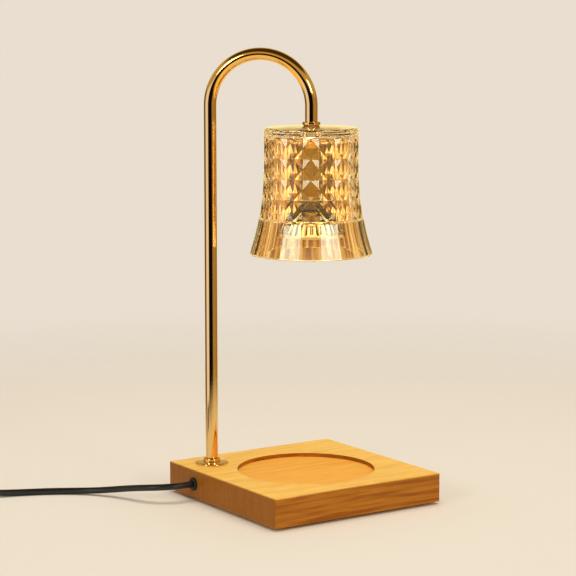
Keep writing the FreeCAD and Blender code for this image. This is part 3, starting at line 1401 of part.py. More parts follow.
# The plug's own z runs from the cord to the blades.
plug_start = VEC(end_x + end_route[-1][0], coil_y + end_route[-1][1], end_route[-1][2])
plug_place = FreeCAD.Placement(plug_start, FreeCAD.Rotation(VEC(1, 0, 0), 90))

relief = lathe(
    "plug_relief",
    [
        ("0", "0"),
        ("relief_tip_dia / 2", "0"),
        ("relief_dia / 2", "relief_length"),
        ("0", "relief_length"),
    ],
)
relief.Placement = plug_place
keep(relief, "plug_relief")

plug = new_body("plug_body")
back = attach(plug, "plug_back", "XY_Plane", "relief_length")
rounded(back, "0", "0", "plug_back_width", "plug_back_high", "plug_round")
middle = attach(plug, "plug_middle", "XY_Plane", "relief_length + plug_length / 2")
rounded(middle, "0", "0", "plug_width", "plug_high", "plug_round")
pad(plug, middle, "plug_length / 2")
loft = plug.newObject("PartDesign::AdditiveLoft", "plug_taper")
loft.Profile = back
loft.Sections = [middle]
plug.Placement = plug_place
keep(plug, "plug_body")

blades = []
for number, sign in ((0, "-"), (1, "+")):
    x = "0 %s blade_pitch / 2" % sign
    start = "relief_length + plug_length"
    blade = box("blade_%d" % number, "blade_thick", "blade_width", "blade_length", x, "0", start)
    bore = turn(cylinder("blade_bore_%d" % number, "blade_hole_dia", "blade_thick + 2"), VEC(0, 1, 0), 90)
    put(bore, x + " - blade_thick / 2 - 1", "0", start + " + blade_length - blade_hole_inset")
    blades.append(cut("blade_cut_%d" % number, blade, [bore]))
blade_pair = group("plug_blades", blades)
blade_pair.Placement = plug_place
keep(blade_pair, "plug_blades")

# ---------------------------------------------------------------- check and write

doc.recompute()
for thing in doc.Objects:
    if {"Invalid", "Error"} & set(thing.State):
        raise RuntimeError("%s did not compute: %s" % (thing.Name, thing.State))
os.makedirs("parts", exist_ok=True)
for node in nodes:
    if node.Shape.isNull() or not node.Shape.isValid() or not node.Shape.Solids:
        raise RuntimeError("%s has no sound solid" % node.Label)
for node in nodes:
    node.Shape.exportStep("parts/%s.step" % node.Label)
print("%d nodes" % len(nodes))
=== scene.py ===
# %% [markdown]
# # A candle warmer lamp
# This lamp melts a jar candle from above. A reflector bulb hangs in a pressed amber glass shade,
# an arched gold tube carries the shade, and a square block of beech holds the tube and has a
# shallow recess for the jar. A CAD model fixes every size and place. Here its pieces get their
# finishes, and those whose surface has to be finer than the CAD mesh are made again: the cut
# glass, the polished metal, the fluted bulb and the soft cord. Sizes are worked out in
# millimetres and become metres on their way into a mesh.

# %% Load the frame
import json
import math

import bmesh
import bpy
import numpy as np
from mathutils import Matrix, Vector


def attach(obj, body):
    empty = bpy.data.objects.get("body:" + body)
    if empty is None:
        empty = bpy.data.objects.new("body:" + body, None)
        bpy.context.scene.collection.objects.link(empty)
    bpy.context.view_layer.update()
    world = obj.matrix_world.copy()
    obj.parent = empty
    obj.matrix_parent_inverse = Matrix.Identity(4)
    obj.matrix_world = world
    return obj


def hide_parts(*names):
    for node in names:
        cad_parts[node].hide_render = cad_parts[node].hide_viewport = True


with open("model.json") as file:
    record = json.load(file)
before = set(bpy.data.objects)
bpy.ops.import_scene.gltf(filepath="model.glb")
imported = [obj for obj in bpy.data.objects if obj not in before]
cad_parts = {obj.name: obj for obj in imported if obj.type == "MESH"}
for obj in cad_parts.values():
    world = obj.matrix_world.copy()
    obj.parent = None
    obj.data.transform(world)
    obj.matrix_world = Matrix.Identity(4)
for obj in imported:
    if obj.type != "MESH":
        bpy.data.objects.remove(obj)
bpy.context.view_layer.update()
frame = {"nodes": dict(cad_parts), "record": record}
nodes = frame["nodes"]
slot_of = {row["node"]: row["material_slot"] for row in frame["record"]["subparts"]}
MM = 0.001

# %% [markdown]
# ## The camera
# A long lens far away keeps the uprights nearly parallel, as in a product picture. The camera
# stands in front and to the left, a little higher than the shade, and looks slightly down. A
# constraint could aim it. Here one vector from the lamp towards the camera does, because the
# studio is set out round the same vector later.

# %% Camera
camera = bpy.data.objects.new("camera", bpy.data.cameras.new("camera"))
bpy.context.scene.collection.objects.link(camera)
towards_camera = Vector((-0.5507, -0.8232, 0.1378)).normalized()
camera.location = (-0.84867, -1.24776, 0.37327)
camera.rotation_mode = "QUATERNION"
camera.rotation_quaternion = (-towards_camera).to_track_quat("-Z", "Y")
camera.data.sensor_width = 36
camera.data.lens = 125.1
camera.data.clip_start, camera.data.clip_end = 0.05, 60
bpy.context.scene.camera = camera
print("camera", round(camera.location.length, 2), "m from the base")

# %% [markdown]
# ## Surfaces from arrays
# A turned or swept piece is a grid of points: one direction runs along its outline, the other
# goes round. numpy works out the whole grid at once, and one function turns any grid into a
# mesh. Modelling such a piece by hand would do too, but a formula keeps the curves exact, and
# polished metal shows every error in a curve.


# %% Grid to mesh
def new_piece(name, points, faces, sharp=35):
    """A mesh object with its faces outwards. It is smooth but where faces meet at more than sharp
    degrees.
    """
    mesh = bpy.data.meshes.new(name)
    mesh.from_pydata(np.asarray(points).reshape(-1, 3).tolist(), [], faces)
    shell = bmesh.new()
    shell.from_mesh(mesh)
    bmesh.ops.recalc_face_normals(shell, faces=shell.faces)
    shell.to_mesh(mesh)
    shell.free()
    mesh.polygons.foreach_set("use_smooth", [True] * len(mesh.polygons))
    mesh.set_sharp_from_angle(angle=math.radians(sharp))
    piece = bpy.data.objects.new(name, mesh)
    bpy.context.scene.collection.objects.link(piece)
    return piece


def from_grid(name, points, closed=True, sharp=35):
    """A closed mesh from rows of points in metres. The columns go round. So do the rows where
    closed is true, and otherwise each end row gets a flat cap.
    """
    rows, columns = points.shape[:2]
    row = np.arange(rows if closed else rows - 1)
    row, column = np.meshgrid(row, np.arange(columns), indexing="ij")
    beside, above = (column + 1) % columns, (row + 1) % rows
    corners = [(row, column), (row, beside), (above, beside), (above, column)]
    faces = np.stack([a * columns + b for a, b in corners], -1).reshape(-1, 4).tolist()
    if not closed:
        around = np.arange(columns)
        faces += [around[::-1].tolist(), (around + (rows - 1) * columns).tolist()]
    return new_piece(name, points, faces, sharp)


# %% Outlines
def softened(corners, radius, steps=6):
    """A closed outline whose corners become arcs tangent to both sides: each arc's middle lies on
    the corner's bisector, radius / sin(half the corner's angle) away. radius is one for all, or
    one each.
    """
    corners = np.asarray(corners, float)
    radii = np.broadcast_to(radius, len(corners))
    befores, afters = np.roll(corners, 1, 0), np.roll(corners, -1, 0)
    outline = []
    for here, before, after, r in zip(corners, befores, afters, radii):
        if r <= 0:
            outline.append(here[None])
            continue
        back = (before - here) / np.linalg.norm(before - here)
        ahead = (after - here) / np.linalg.norm(after - here)
        half = np.arccos(np.clip(back @ ahead, -1, 1)) / 2
        middle = here + (back + ahead) / np.linalg.norm(back + ahead) * r / np.sin(half)
        start = here + back * r / np.tan(half) - middle
        end = here + ahead * r / np.tan(half) - middle
        share = np.linspace(0, 1, steps + 1)[:, None]
        arc = start * (1 - share) + end * share
        outline.append(middle + arc / np.linalg.norm(arc, axis=1, keepdims=True) * r)
    return np.concatenate(outline)


def smooth_step(value):
    """0 below 0, 1 above 1, and 3v^2 - 2v^3 between."""
    value = np.clip(value, 0, 1)
    return value * value * (3 - 2 * value)


square = [(0, 0), (1, 0), (1, 1), (0, 1)]
print("a square with softened corners has", len(softened(square, 0.2)), "points")


# %% Lathe and sweep
def lathe(profile, around, steps=96):
    """Every (radius, height) of a profile carried round an upright axis: x = r cos a, y = r sin a,
    z = height.
    """
    angle = np.linspace(0, 2 * np.pi, steps, endpoint=False)
    profile = np.asarray(profile, float)
    x = around[0] + profile[:, :1] * np.cos(angle)
    y = around[1] + profile[:, :1] * np.sin(angle)
    return np.stack([x, y, np.broadcast_to(profile[:, 1:], x.shape)], -1)


def sweep(path, reference, radius, sides):
    """A ring of points about each point of a path, square to it: path + radius * (cos a * side +
    sin a * other). The reference direction is never along the path.
    """
    tangent = np.gradient(path, axis=0)
    tangent /= np.linalg.norm(tangent, axis=1, keepdims=True)
    side = np.cross(tangent, reference)
    side /= np.linalg.norm(side, axis=1, keepdims=True)
    other = np.cross(side, tangent)
    angle = np.linspace(0, 2 * np.pi, sides, endpoint=False)[:, None]
    return path[:, None] + radius * (np.cos(angle) * side[:, None] + np.sin(angle) * other[:, None])


print("a ring turned on the lathe is a grid of", lathe(square, (5, 0)).shape)

# %% [markdown]
# ## Shader nodes
# One function adds a node with its settings and its inputs. Colours are written as sRGB hex, as
# a colour picker shows them, and are turned to the linear values that the renderer works in.


# %% Colours and nodes
def linear(colour):
    """sRGB hex to linear red, green, blue and alpha, by the sRGB curve."""
    value = np.array([int(colour[i : i + 2], 16) for i in (1, 3, 5)]) / 255
    value = np.where(value <= 0.04045, value / 12.92, ((value + 0.055) / 1.055) ** 2.4)
    return (*value.tolist(), 1.0)


def add(tree, kind, inputs=(), stops=(), **settings):
    """Adds a node. An input is a hex colour, a plain value, or the output of another node to link
    to. A colour ramp's stops are (position, hex colour), or (position, hex colour, strength) for
    a light.
    """
    node = tree.nodes.new("ShaderNode" + kind)
    for name, value in settings.items():
        setattr(node, name, value)
    for number, (position, colour, *strength) in enumerate(stops):
        elements = node.color_ramp.elements
        element = elements[number] if number < len(elements) else elements.new(1.0)
        element.position = position
        element.color = [level * (strength or [1])[0] for level in linear(colour)]
    for name, value in dict(inputs).items():
        socket = node.inputs[name]
        if isinstance(value, bpy.types.NodeSocket):
            tree.links.new(value, socket)
        else:
            socket.default_value = linear(value) if isinstance(value, str) else value
    return node


print("middle grey #808080 is", round(linear("#808080")[0], 3), "of white in linear light")


# %% Materials
def grained(tree, x, y, z, place=(0, 0, 0)):
    """Object coordinates in which a texture's grain is x by y by z millimetres."""
    where = add(tree, "TexCoord").outputs["Object"]
    scale = (1 / (x * MM), 1 / (y * MM), 1 / (z * MM))
    return add(tree, "Mapping", {"Vector": where, "Scale": scale, "Location": place}).outputs[0]


def material(name, recipe, **values):
    """A material whose surface is the shader that the recipe builds in its node tree."""
    made = bpy.data.materials.new(name)
    made.use_nodes = True
    made.node_tree.nodes.clear()
    surface = recipe(made.node_tree, **values)
    add(made.node_tree, "OutputMaterial", {"Surface": surface.outputs[0]})
    return made


# %% [markdown]
# ## The free cord
# A round 5 mm cord leaves the base, lies on the table in a loose S and ends in an in-line
# dimmer. From there it runs into a tied coil, as a cord is kept on a shelf, and out of it to the
# plug. A cord could be a swept mesh, but a smooth NURBS line with a few points of its route
# bends as evenly as a real one.

# %% Routes to the dimmer and to the coil
cord_dia = 5.0
exit_point = np.array([-76.8, 38.5, 13.0])
case_z = 9.0
lead_route = exit_point * (1, 1, 0) + np.array(
    [
        (0.0, 0.0, 13.0),
        (-11.7, 0.0, 13.0),
        (-22.7, 4.8, 12.6),
        (-30.9, 13.7, 11.6),
        (-36.0, 26.1, 9.6),
        (-41.7, 40.5, 6.7),
        (-50.7, 55.0, 3.9),
        (-63.7, 68.0, 2.7),
        (-81.2, 79.0, 2.6),
        (-100.7, 87.5, 2.6),
        (-117.2, 92.8, 3.2),
        (-131.7, 96.6, 5.0),
        (-144.7, 99.0, 7.4),
        (-156.2, 99.8, case_z),
        (-163.2, 99.8, case_z),
    ]
)
sleeve_and_half_case = 42.0
dimmer = lead_route[-1] - (sleeve_and_half_case, 0, 0)
tail_start = dimmer - (sleeve_and_half_case, 0, 0)
coil_low, coil_high, plug_z = 3.6, 8.4, 8.2
tail_route = tail_start * (1, 1, 0) + np.array(
    [
        (0.0, 0.0, case_z),
        (-11.7, 0.0, case_z),
        (-22.6, -4.6, 7.4),
        (-31.2, -13.4, 5.5),
        (-35.9, -25.6, 4.2),
        (-37.6, -39.2, coil_low),
        (-37.2, -52.4, coil_low),
    ]
)
print("dimmer at", dimmer.round(1))

# %% [markdown]
# The coil is wound as a hand winds it: four turns inwards on the table, and three outwards on
# top of them. A plain spiral would do as well. Here each turn is round for three quarters of its
# way and then shifts by one cord's width, so that the turns lie side by side like real ones.

# %% Coil and end of the cord
coil_centre = np.array([*(tail_start[:2] + (-1.0, -65.4)), 0.0])
last_turn = 32.5


def coil_route(points_per_turn=16, stand_out=1.019):
    """Points (r cos a, r sin a, level), where r and the level change in a turn's last quarter.

    A quadratic spline passes inside a ring of 16 points by 1.9%, so the points stand that much
    further out.
    """
    wide = np.array([35.0, 30.0, 25.0, 20.0, 22.5, 27.5, last_turn, last_turn])
    level = np.array([coil_low] * 4 + [coil_high] * 4)
    turns = len(wide) - 1
    turn = np.arange(points_per_turn * turns + 1) / points_per_turn
    before = turn.astype(int)
    after = np.minimum(before + 1, turns)
    shift = np.clip((turn % 1 - 0.75) * 4, 0, 1)
    radius = stand_out * (wide[before] + (wide[after] - wide[before]) * shift)
    height = level[before] + (level[after] - level[before]) * shift
    angle = np.pi + 2 * np.pi * turn
    return coil_centre + np.stack([np.cos(angle) * radius, np.sin(angle) * radius, height], -1)


end_start = coil_centre - (last_turn, 0, 0)
end_route = end_start + np.array(
    [
        (-0.4, -12.0, coil_high),
        (0.3, -23.5, coil_high),
        (1.6, -34.5, plug_z),
        (1.6, -44.0, plug_z),
    ]
)
plug_route = np.concatenate([tail_route, coil_route(), end_route])
print("coil at", coil_centre.round(1), "in a route of", len(plug_route), "points")


# %% Cord as a NURBS line
def cord_line(name, route):
    """A round cord on a smooth quadratic NURBS line, whose control points are the route's."""
    curve = bpy.data.curves.new(name, "CURVE")
    curve.dimensions = "3D"
    spline = curve.splines.new("NURBS")
    spline.points.add(len(route) - 1)
    spline.points.foreach_set("co", np.insert(route * MM, 3, 1.0, axis=1).ravel())
    spline.order_u = 3
    spline.use_endpoint_u = True
    spline.resolution_u = 8
    curve.bevel_depth = cord_dia / 2 * MM
    curve.bevel_resolution = 6
    curve.use_fill_caps = True
    piece = bpy.data.objects.new(name, curve)
    bpy.context.scene.collection.objects.link(piece)
    return piece


lead_cord = cord_line("lead_cord", lead_route)
plug_cord = cord_line("plug_cord", plug_route)
for cord in (lead_cord, plug_cord):
    print(cord.name, round(cord.data.splines[0].calc_length(), 3), "m long")

# %% [markdown]
# ## Pressed glass shade
# The shade is pressed in a mould: four rows of diamond cells in 18 columns, with a plain band
# above and flat panels below that flare out to the rim. Its inside is a smooth bell, so the wall
# is thick and thin by turns, and that is what makes it glitter. A bump map can't bend light
# through a wall. So every facet is real, each edge is rounded a little, as glass leaves a mould,
# and the inside is a fine surface of its own.

# %% Shade sizes
shade_axis = np.array([4.2957, -4.2957])
rim_level = 189.45
COLUMNS, ROWS = 18, 4
glass_high, glass_roof, glass_wall = 97.0, 5.5, 4.0
skirt_high, row_low, row_tall, band_low = 26.9, 28.5, 15.3, 91.3
facet_depth = 1.6
body_radius, flare, flare_high = 36, 10.9, 72.5
shoulder_top, shoulder_round, flat_radius, stem_hole = 96, 3.2, 14, 4.9
ceiling_radius, ceiling_round = 26, 6


def shade_radius(height):
    """The outside: 36 mm, and below 72.5 mm wider by 10.9 * (1 - height / 72.5)^2.3."""
    return body_radius + flare * np.clip(1 - height / flare_high, 0, None) ** 2.3


print("shade:", glass_high, "mm high and", 2 * shade_radius(0), "mm wide at the rim")

# %% Rings and faces
shade_points, shade_faces = [], []


def lay(radius, height, steps=COLUMNS, shift=0.0):
    """Adds a ring of points above the rim and returns their numbers. A column's edge is half a
    column from the post's side, and shift moves the ring on by a share of a column.
    """
    start = sum(map(len, shade_points))
    column = np.arange(steps) * COLUMNS / steps + shift - 0.5
    angle = np.radians(135) + column * 2 * np.pi / COLUMNS
    x, y = shade_axis[0] + radius * np.cos(angle), shade_axis[1] + radius * np.sin(angle)
    shade_points.append(np.stack([x, y, np.full(steps, rim_level + height)], -1))
    return start + np.arange(steps)


def join(*corners):
    """Adds a face for each column, from arrays of point numbers."""
    shade_faces.extend(np.stack(corners, -1).tolist())


def after(ring):
    """Each point's neighbour in the ring."""
    return np.roll(ring, -1)


# %% [markdown]
# Each cell is as wide as a column and as tall as a row. Its corners are dents. A flat diamond,
# which is two triangles, stretches between the middles of its four sides, and one more triangle
# slopes from each side of the diamond down to a dent.

# %% Skirt and cut cells
skirt = [lay(shade_radius(h), h) for h in np.linspace(0, skirt_high, 25)]
for below, above in zip(skirt, skirt[1:]):
    join(below, after(below), after(above), above)
corner = lay(shade_radius(row_low) - facet_depth, row_low)
middle = lay(shade_radius(row_low), row_low, shift=0.5)
join(skirt[-1], middle, corner)
join(skirt[-1], after(skirt[-1]), middle)
join(after(skirt[-1]), after(corner), middle)
for row in range(ROWS):
    half_up, up = row_low + (row + 0.5) * row_tall, row_low + (row + 1) * row_tall
    side = lay(shade_radius(half_up), half_up)
    next_corner = lay(shade_radius(up) - facet_depth, up)
    next_middle = lay(shade_radius(up), up, shift=0.5)
    join(corner, middle, side)
    join(middle, after(corner), after(side))
    join(middle, next_middle, side)
    join(middle, after(side), next_middle)
    join(side, next_middle, next_corner)
    join(after(side), after(next_corner), next_middle)
    corner, middle = next_corner, next_middle
ring = lay(shade_radius(band_low), band_low, 2 * COLUMNS)
even, odd = ring[::2], ring[1::2]
join(corner, middle, odd)
join(corner, odd, even)
join(middle, after(corner), after(even))
join(middle, after(even), odd)
cut_points = ring[-1] + 1
print("cut outside:", cut_points, "points,", len(shade_faces), "faces")

# %% Shoulder, roof and inside
roof_level = glass_high - glass_roof
outline = [
    (
        body_radius - shoulder_round * (1 - math.cos(a)),
        shoulder_top - shoulder_round * (1 - math.sin(a)),
    )
    for a in np.radians([0, 15, 30, 45, 60, 75, 90])
]
outline += [(flat_radius, glass_high), (stem_hole, glass_high), (stem_hole, roof_level)]
for radius, height in outline:
    above = lay(radius, height, 2 * COLUMNS)
    join(ring, after(ring), after(above), above)
    ring = above
inside = lay(ceiling_radius, roof_level, 8 * COLUMNS)
parts = [inside[k::4] for k in range(4)]
join(after(ring), ring, *parts, after(parts[0]))
wall_top = roof_level - ceiling_round
curve = [
    (ceiling_radius + ceiling_round * math.sin(a), wall_top + ceiling_round * math.cos(a))
    for a in np.radians([15, 30, 45, 60, 75, 90])
]
bell = [(shade_radius(h) - glass_wall, h) for h in np.linspace(flare_high, 0, 25)]
for radius, height in curve + bell:
    below = lay(radius, height, 8 * COLUMNS)
    join(inside, after(inside), after(below), below)
    inside = below
parts = [inside[k::8] for k in range(8)]
join(after(skirt[0]), skirt[0], *parts, after(parts[0]))

shade = new_piece("pressed_shade", np.concatenate(shade_points) * MM, shade_faces, sharp=7)
print("shade:", len(shade.data.vertices), "points,", len(shade.data.polygons), "faces")

# %% [markdown]
# Fire polishing leaves no razor edges on pressed glass. More rings could round them, but the
# rows of facets meet in every direction. A Bevel modifier does it by weight: 0.8 mm at the rim,
# and a third of that between facets, where each edge catches a thin line of light.

# %% Rounded glass edges
rim_round, facet_share = 0.8, 0.33
skirt_rings_below, level_slack = 26.5, 0.01
ends = np.empty(2 * len(shade.data.edges), dtype=int)
shade.data.edges.foreach_get("vertices", ends)
ends = ends.reshape(-1, 2)
level = np.concatenate(shade_points)[ends, 2] - rim_level
at_rim = (level < level_slack).all(1)
on_rim = at_rim & ((ends < COLUMNS).all(1) | (ends >= cut_points).all(1))
across = np.abs(level[:, 0] - level[:, 1]) < level_slack
facet = (ends < cut_points).all(1) & ~(across & (level[:, 0] < skirt_rings_below))
weight = np.where(on_rim, 1.0, np.where(facet, facet_share, 0.0))
shade.data.attributes.new("bevel_weight_edge", "FLOAT", "EDGE").data.foreach_set("value", weight)
rounding = shade.modifiers.new("rounded_edges", "BEVEL")
rounding.limit_method = "WEIGHT"
rounding.width = rim_round * MM
rounding.segments = 2
rounding.harden_normals = True
print("edges rounded:", int(facet.sum()), "between facets,", int(on_rim.sum()), "at the rim")

# %% [markdown]
# ## Polished tube, flange and collars
# The tube is bent over a former from one straight length, then polished and plated, so that it
# reflects like a mirror all the way round. A bevelled curve would make one too, but without its
# bore. Here the centre line runs up, over a half circle and down. A ring of points about each
# point of that line makes the outside, and a narrower one the bore.

# %% Arched tube
post_axis = np.array([-51.0, 51.0])
foot_z, spring_z, drop_z = 25.6, 301.15, 288.65
arch_radius, tube_radius, tube_wall = 39.1, 4.75, 0.8
heading = np.array([1, -1, 0]) / math.sqrt(2)
sideways = np.array([1, 1, 0]) / math.sqrt(2)
upwards = np.array([0, 0, 1])


def tube_line():
    """Up the post, then (1 + cos a) arch radii along the heading and sin a up, from 180 to 0
    degrees, and down to the shade.
    """
    post = np.array([*post_axis, 0.0])
    up = np.linspace(foot_z, spring_z, 24)[:, None]
    down = np.linspace(spring_z, drop_z, 4)[1:, None]
    angle = np.linspace(np.pi, 0, 121)[1:, None]
    bend = post + heading * arch_radius * (1 + np.cos(angle))
    bend = bend + upwards * (spring_z + arch_radius * np.sin(angle))
    drop = post + 2 * arch_radius * heading + down * upwards
    return np.concatenate([post + up * upwards, bend, drop])


line = tube_line()
outside = sweep(line, sideways, tube_radius, 64)
bore = sweep(line, sideways, tube_radius - tube_wall, 64)
arched_tube = from_grid("arched_tube", np.concatenate([outside, bore[::-1]]) * MM)
tube_length = float(np.linalg.norm(np.diff(line, axis=0), axis=1).sum())
print("tube:", round(tube_length), "mm along its centre line")

# %% [markdown]
# The flange and both collars are turned from brass bar. The CAD rings have sharp edges, which no
# turned part has. So each gets a rounded outer edge here, where the polish catches a thin line
# of light. Each outline is a list of (radius, height), with one rounding for each corner.

# %% Turned rings
flange = softened([(4.1, 24.0), (12.8, 24.0), (12.8, 25.6), (4.1, 25.6)], (0, 0.3, 0.9, 0))
foot_collar = softened([(4.8, 25.6), (6.5, 25.6), (6.5, 28.8), (4.8, 28.8)], (0, 0, 1.2, 0.2))
top_collar = softened(
    [(4.1, 287.45), (6.8, 287.45), (6.8, 289.95), (4.8, 289.95), (4.8, 288.65), (4.1, 288.65)],
    (0, 0.5, 0.9, 0.2, 0, 0),
)
flange_disc = from_grid("flange_disc", lathe(flange, post_axis, 128) * MM)
foot_ring = from_grid("foot_ring", lathe(foot_collar, post_axis) * MM)
shade_ring = from_grid("shade_ring", lathe(top_collar, shade_axis) * MM)
for ring in (flange_disc, foot_ring, shade_ring):
    print(ring.name, len(ring.data.polygons), "faces")

# %% [markdown]
# ## Reflector bulb
# The bulb's reflector is pressed glass with a mirror coat. Upright flutes run round its lower
# half: each is round on top, and they fade out towards the neck, which has a fine knurl. The
# ferrule is a metal band with fine ribs. Flutes could be cut with a modifier. A turned profile
# whose radius also changes round the axis gives them their smooth ends for nothing.


# %% Flutes
def fluted(profile, around, steps, **flutes):
    """A lathe grid whose radius drops between round flutes by depth * (1 - |cos(n a / 2)|^0.6).
    flutes holds pairs of a number n and the depth at each profile point.
    """
    grid = lathe(profile, around, steps)
    angle = np.linspace(0, 2 * np.pi, steps, endpoint=False)
    drop = sum(
        depth[:, None] * (1 - np.abs(np.cos(n * angle / 2)) ** 0.6) for n, depth in flutes.values()
    )
    grid[..., 0] -= drop * np.cos(angle)
    grid[..., 1] -= drop * np.sin(angle)
    return grid


def faded(depth, height, low, high):
    """The depth between two levels, fading smoothly to 0 at both. Each is (level, fade length)."""
    below_top = smooth_step((high[0] - height) / high[1])
    above_bottom = smooth_step((height - low[0]) / low[1])
    return depth * below_top * above_bottom


# %% Fluted reflector
neck_radius, neck_top, neck_wall = 9.2, 227.0, 1.3
bowl_top, bowl_deep, bowl_wider = 224.15, 18, 15.33
FLUTES, KNURLS = 22, 88


def bowl(down, inset=0.0):
    """The bowl is 9.2 + 15.33 * down^0.63 mm in radius at a share down of its 18 mm."""
    radius = neck_radius + bowl_wider * down**0.63 - inset
    return np.stack([radius, bowl_top - bowl_deep * down - 0.5 * inset], -1)


down = np.linspace(0, 1, 49) ** 1.3
lip = [(24.9, 205.6), (25.0, 205.2), (25.0, 203.4), (24.7, 203.15)]
lip += [(23.6, 203.15), (23.45, 203.3), (23.45, 205.4)]
inner_bowl = bowl(down, neck_wall)[:-3][::-1]
neck_ends = [(neck_radius, neck_top)], [(neck_radius - neck_wall, neck_top)]
bulb_shell = np.concatenate([neck_ends[0], bowl(down), lip, inner_bowl, neck_ends[1]])
height, on_outside = bulb_shell[:, 1], np.arange(len(bulb_shell)) <= len(down)
flute_depth = faded(1.5, height, (205.6, 1.5), (215, 2)) * on_outside
knurl_depth = faded(0.3, height, (214.6, 0.8), (221.5, 0.8)) * on_outside
reliefs = {"flutes": (FLUTES, flute_depth), "knurl": (KNURLS, knurl_depth)}
dome = fluted(bulb_shell, shade_axis, 20 * FLUTES, **reliefs)
reflector = from_grid("fluted_reflector", dome * MM, sharp=60)
print("reflector:", len(reflector.data.polygons), "faces")

# %% Ribbed ferrule
band = [(9.3, 225.05), (11.0, 225.05), (11.0, 231.05), (9.3, 231.05)]
band = softened(band, (0, 0.4, 0.8, 0.2))
on_face = band[:, 0] > 10
rib_depth = faded(0.5, band[:, 1], (225.5, 0.6), (230.6, 0.6)) * on_face
ribs = fluted(band, shade_axis, 320, ribs=(40, rib_depth))
ferrule = from_grid("ribbed_ferrule", ribs * MM, sharp=50)
print("ferrule:", len(ferrule.data.polygons), "faces")

# %% [markdown]
# The filament is a fine coil of tungsten between two stiff wires, inside a quartz capsule. The
# CAD model has a plain rod there. A helix is one sweep, and it shows through the front lens from
# below.

# %% Filament
turns, coil_radius, coil_length, wire_radius, filament_z = 14, 0.55, 6.0, 0.14, 220.15
share = np.linspace(0, 1, turns * 16)
helix = np.array([*shade_axis, filament_z]) + np.stack(
    [
        coil_length * (share - 0.5),
        coil_radius * np.cos(2 * np.pi * turns * share),
        coil_radius * np.sin(2 * np.pi * turns * share),
    ],
    -1,
)
wire = sweep(helix, (1, 0, 0), wire_radius, 8)
filament = from_grid("filament_coil", wire * MM, closed=False)
print("filament:", turns, "turns in", coil_length, "mm")

# %% [markdown]
# ## Cord fittings
# A rubber bushing lines the cord's hole in the base, so that the wood can't chafe the cord. It
# is turned like the rings, with its axis laid along X and its flange outside the wood.

# %% Bushing
bushing = [(2.6, -1.8), (5.0, -1.8), (5.0, 0), (3.75, 0)]
bushing += [(3.75, 10), (4.35, 10), (3.75, 11.3), (2.6, 11.3)]
bushing = softened(bushing, (0.5, 0.8, 0, 0, 0, 0.2, 0.2, 0.3))
upright = lathe(bushing, (0, 0))
base_side_at_exit = np.array([-75.0, exit_point[1], exit_point[2]])
cord_bushing = from_grid("cord_bushing", (base_side_at_exit + upright[..., [2, 0, 1]]) * MM)
print("bushing:", len(cord_bushing.data.polygons), "faces")

# %% [markdown]
# A hook-and-loop strap holds the coil. It goes once round the bundle of turns and laps over
# itself for 10 mm, where it lies one layer higher. Cloth simulation could wrap it, but the strap
# is pulled tight, so its line is simply the bundle's outline with round corners.

# %% Strap
overlap, layer, climb = 10, 0.75, 4
bundle = softened([(15.4, 0.5), (39.1, 0.5), (39.1, 11.7), (15.4, 11.7)], 3.0)
bundle = np.roll(bundle, -14, axis=0)
lap = np.concatenate([bundle, bundle[:8]])
along = np.insert(np.cumsum(np.linalg.norm(np.diff(lap, axis=0), axis=1)), 0, 0)
once_round = along[len(bundle)]
at = np.linspace(0, once_round + overlap, 140)
middle_line = np.stack([np.interp(at, along, lap[:, 0]), np.interp(at, along, lap[:, 1])], -1)
tangent = np.gradient(middle_line, axis=0)
normal = np.stack([tangent[:, 1], -tangent[:, 0]], -1)
normal = normal / np.linalg.norm(tangent, axis=1, keepdims=True)
lift = layer * smooth_step((at - once_round + climb) / climb)
section = softened([(-0.35, -4.5), (0.35, -4.5), (0.35, 4.5), (-0.35, 4.5)], 0.3, 2)
off = lift[:, None] + section[:, 0]
radial = middle_line[:, :1] + normal[:, :1] * off
upward = middle_line[:, 1:] + normal[:, 1:] * off
strap_grid = np.stack([radial, np.broadcast_to(section[:, 1], radial.shape), upward], -1)
strap = from_grid("coil_strap", (coil_centre + strap_grid) * MM, closed=False)
print("strap:", round(float(at[-1])), "mm long")

# %% [markdown]
# The plug is moulded round the cord's end. Its relief has rings, so that it bends a little at a
# time, and its body has grips at the sides. Both are drawn standing on z = 0, where a formula is
# easy to read, and are then laid down along the cord.

# %% Ringed relief
plug_start = end_route[-1]
relief_long, cord_hole = 25, 2.45


def towards_wall(grid):
    """Turns a shape that stands on z = 0 so that it points away along -Y from the cord's end."""
    return plug_start + np.stack([grid[..., 0], -grid[..., 2], grid[..., 1]], -1)


def grooves(z, pitch, middle, reach):
    """1.6 cos(2 pi z / pitch) - 0.6, kept from 0 to 1: round grooves within reach of a middle."""
    return np.clip(1.6 * np.cos(2 * np.pi * z / pitch) - 0.6, 0, 1) * (np.abs(z - middle) < reach)


z = np.linspace(0, relief_long, 126)
radius = 3.4 + 2.4 * z / relief_long - 0.9 * grooves(z, 3.2, 12.8, 9.6)
rings = np.concatenate([[(cord_hole, 0)], np.stack([radius, z], -1), [(cord_hole, relief_long)]])
plug_relief = from_grid("ringed_relief", towards_wall(lathe(rings, (0, 0), 48)) * MM, sharp=60)
print("relief:", relief_long, "mm long from", plug_start.round(1))

# %% Plug body
plug_end, end_round = 55, 1.6


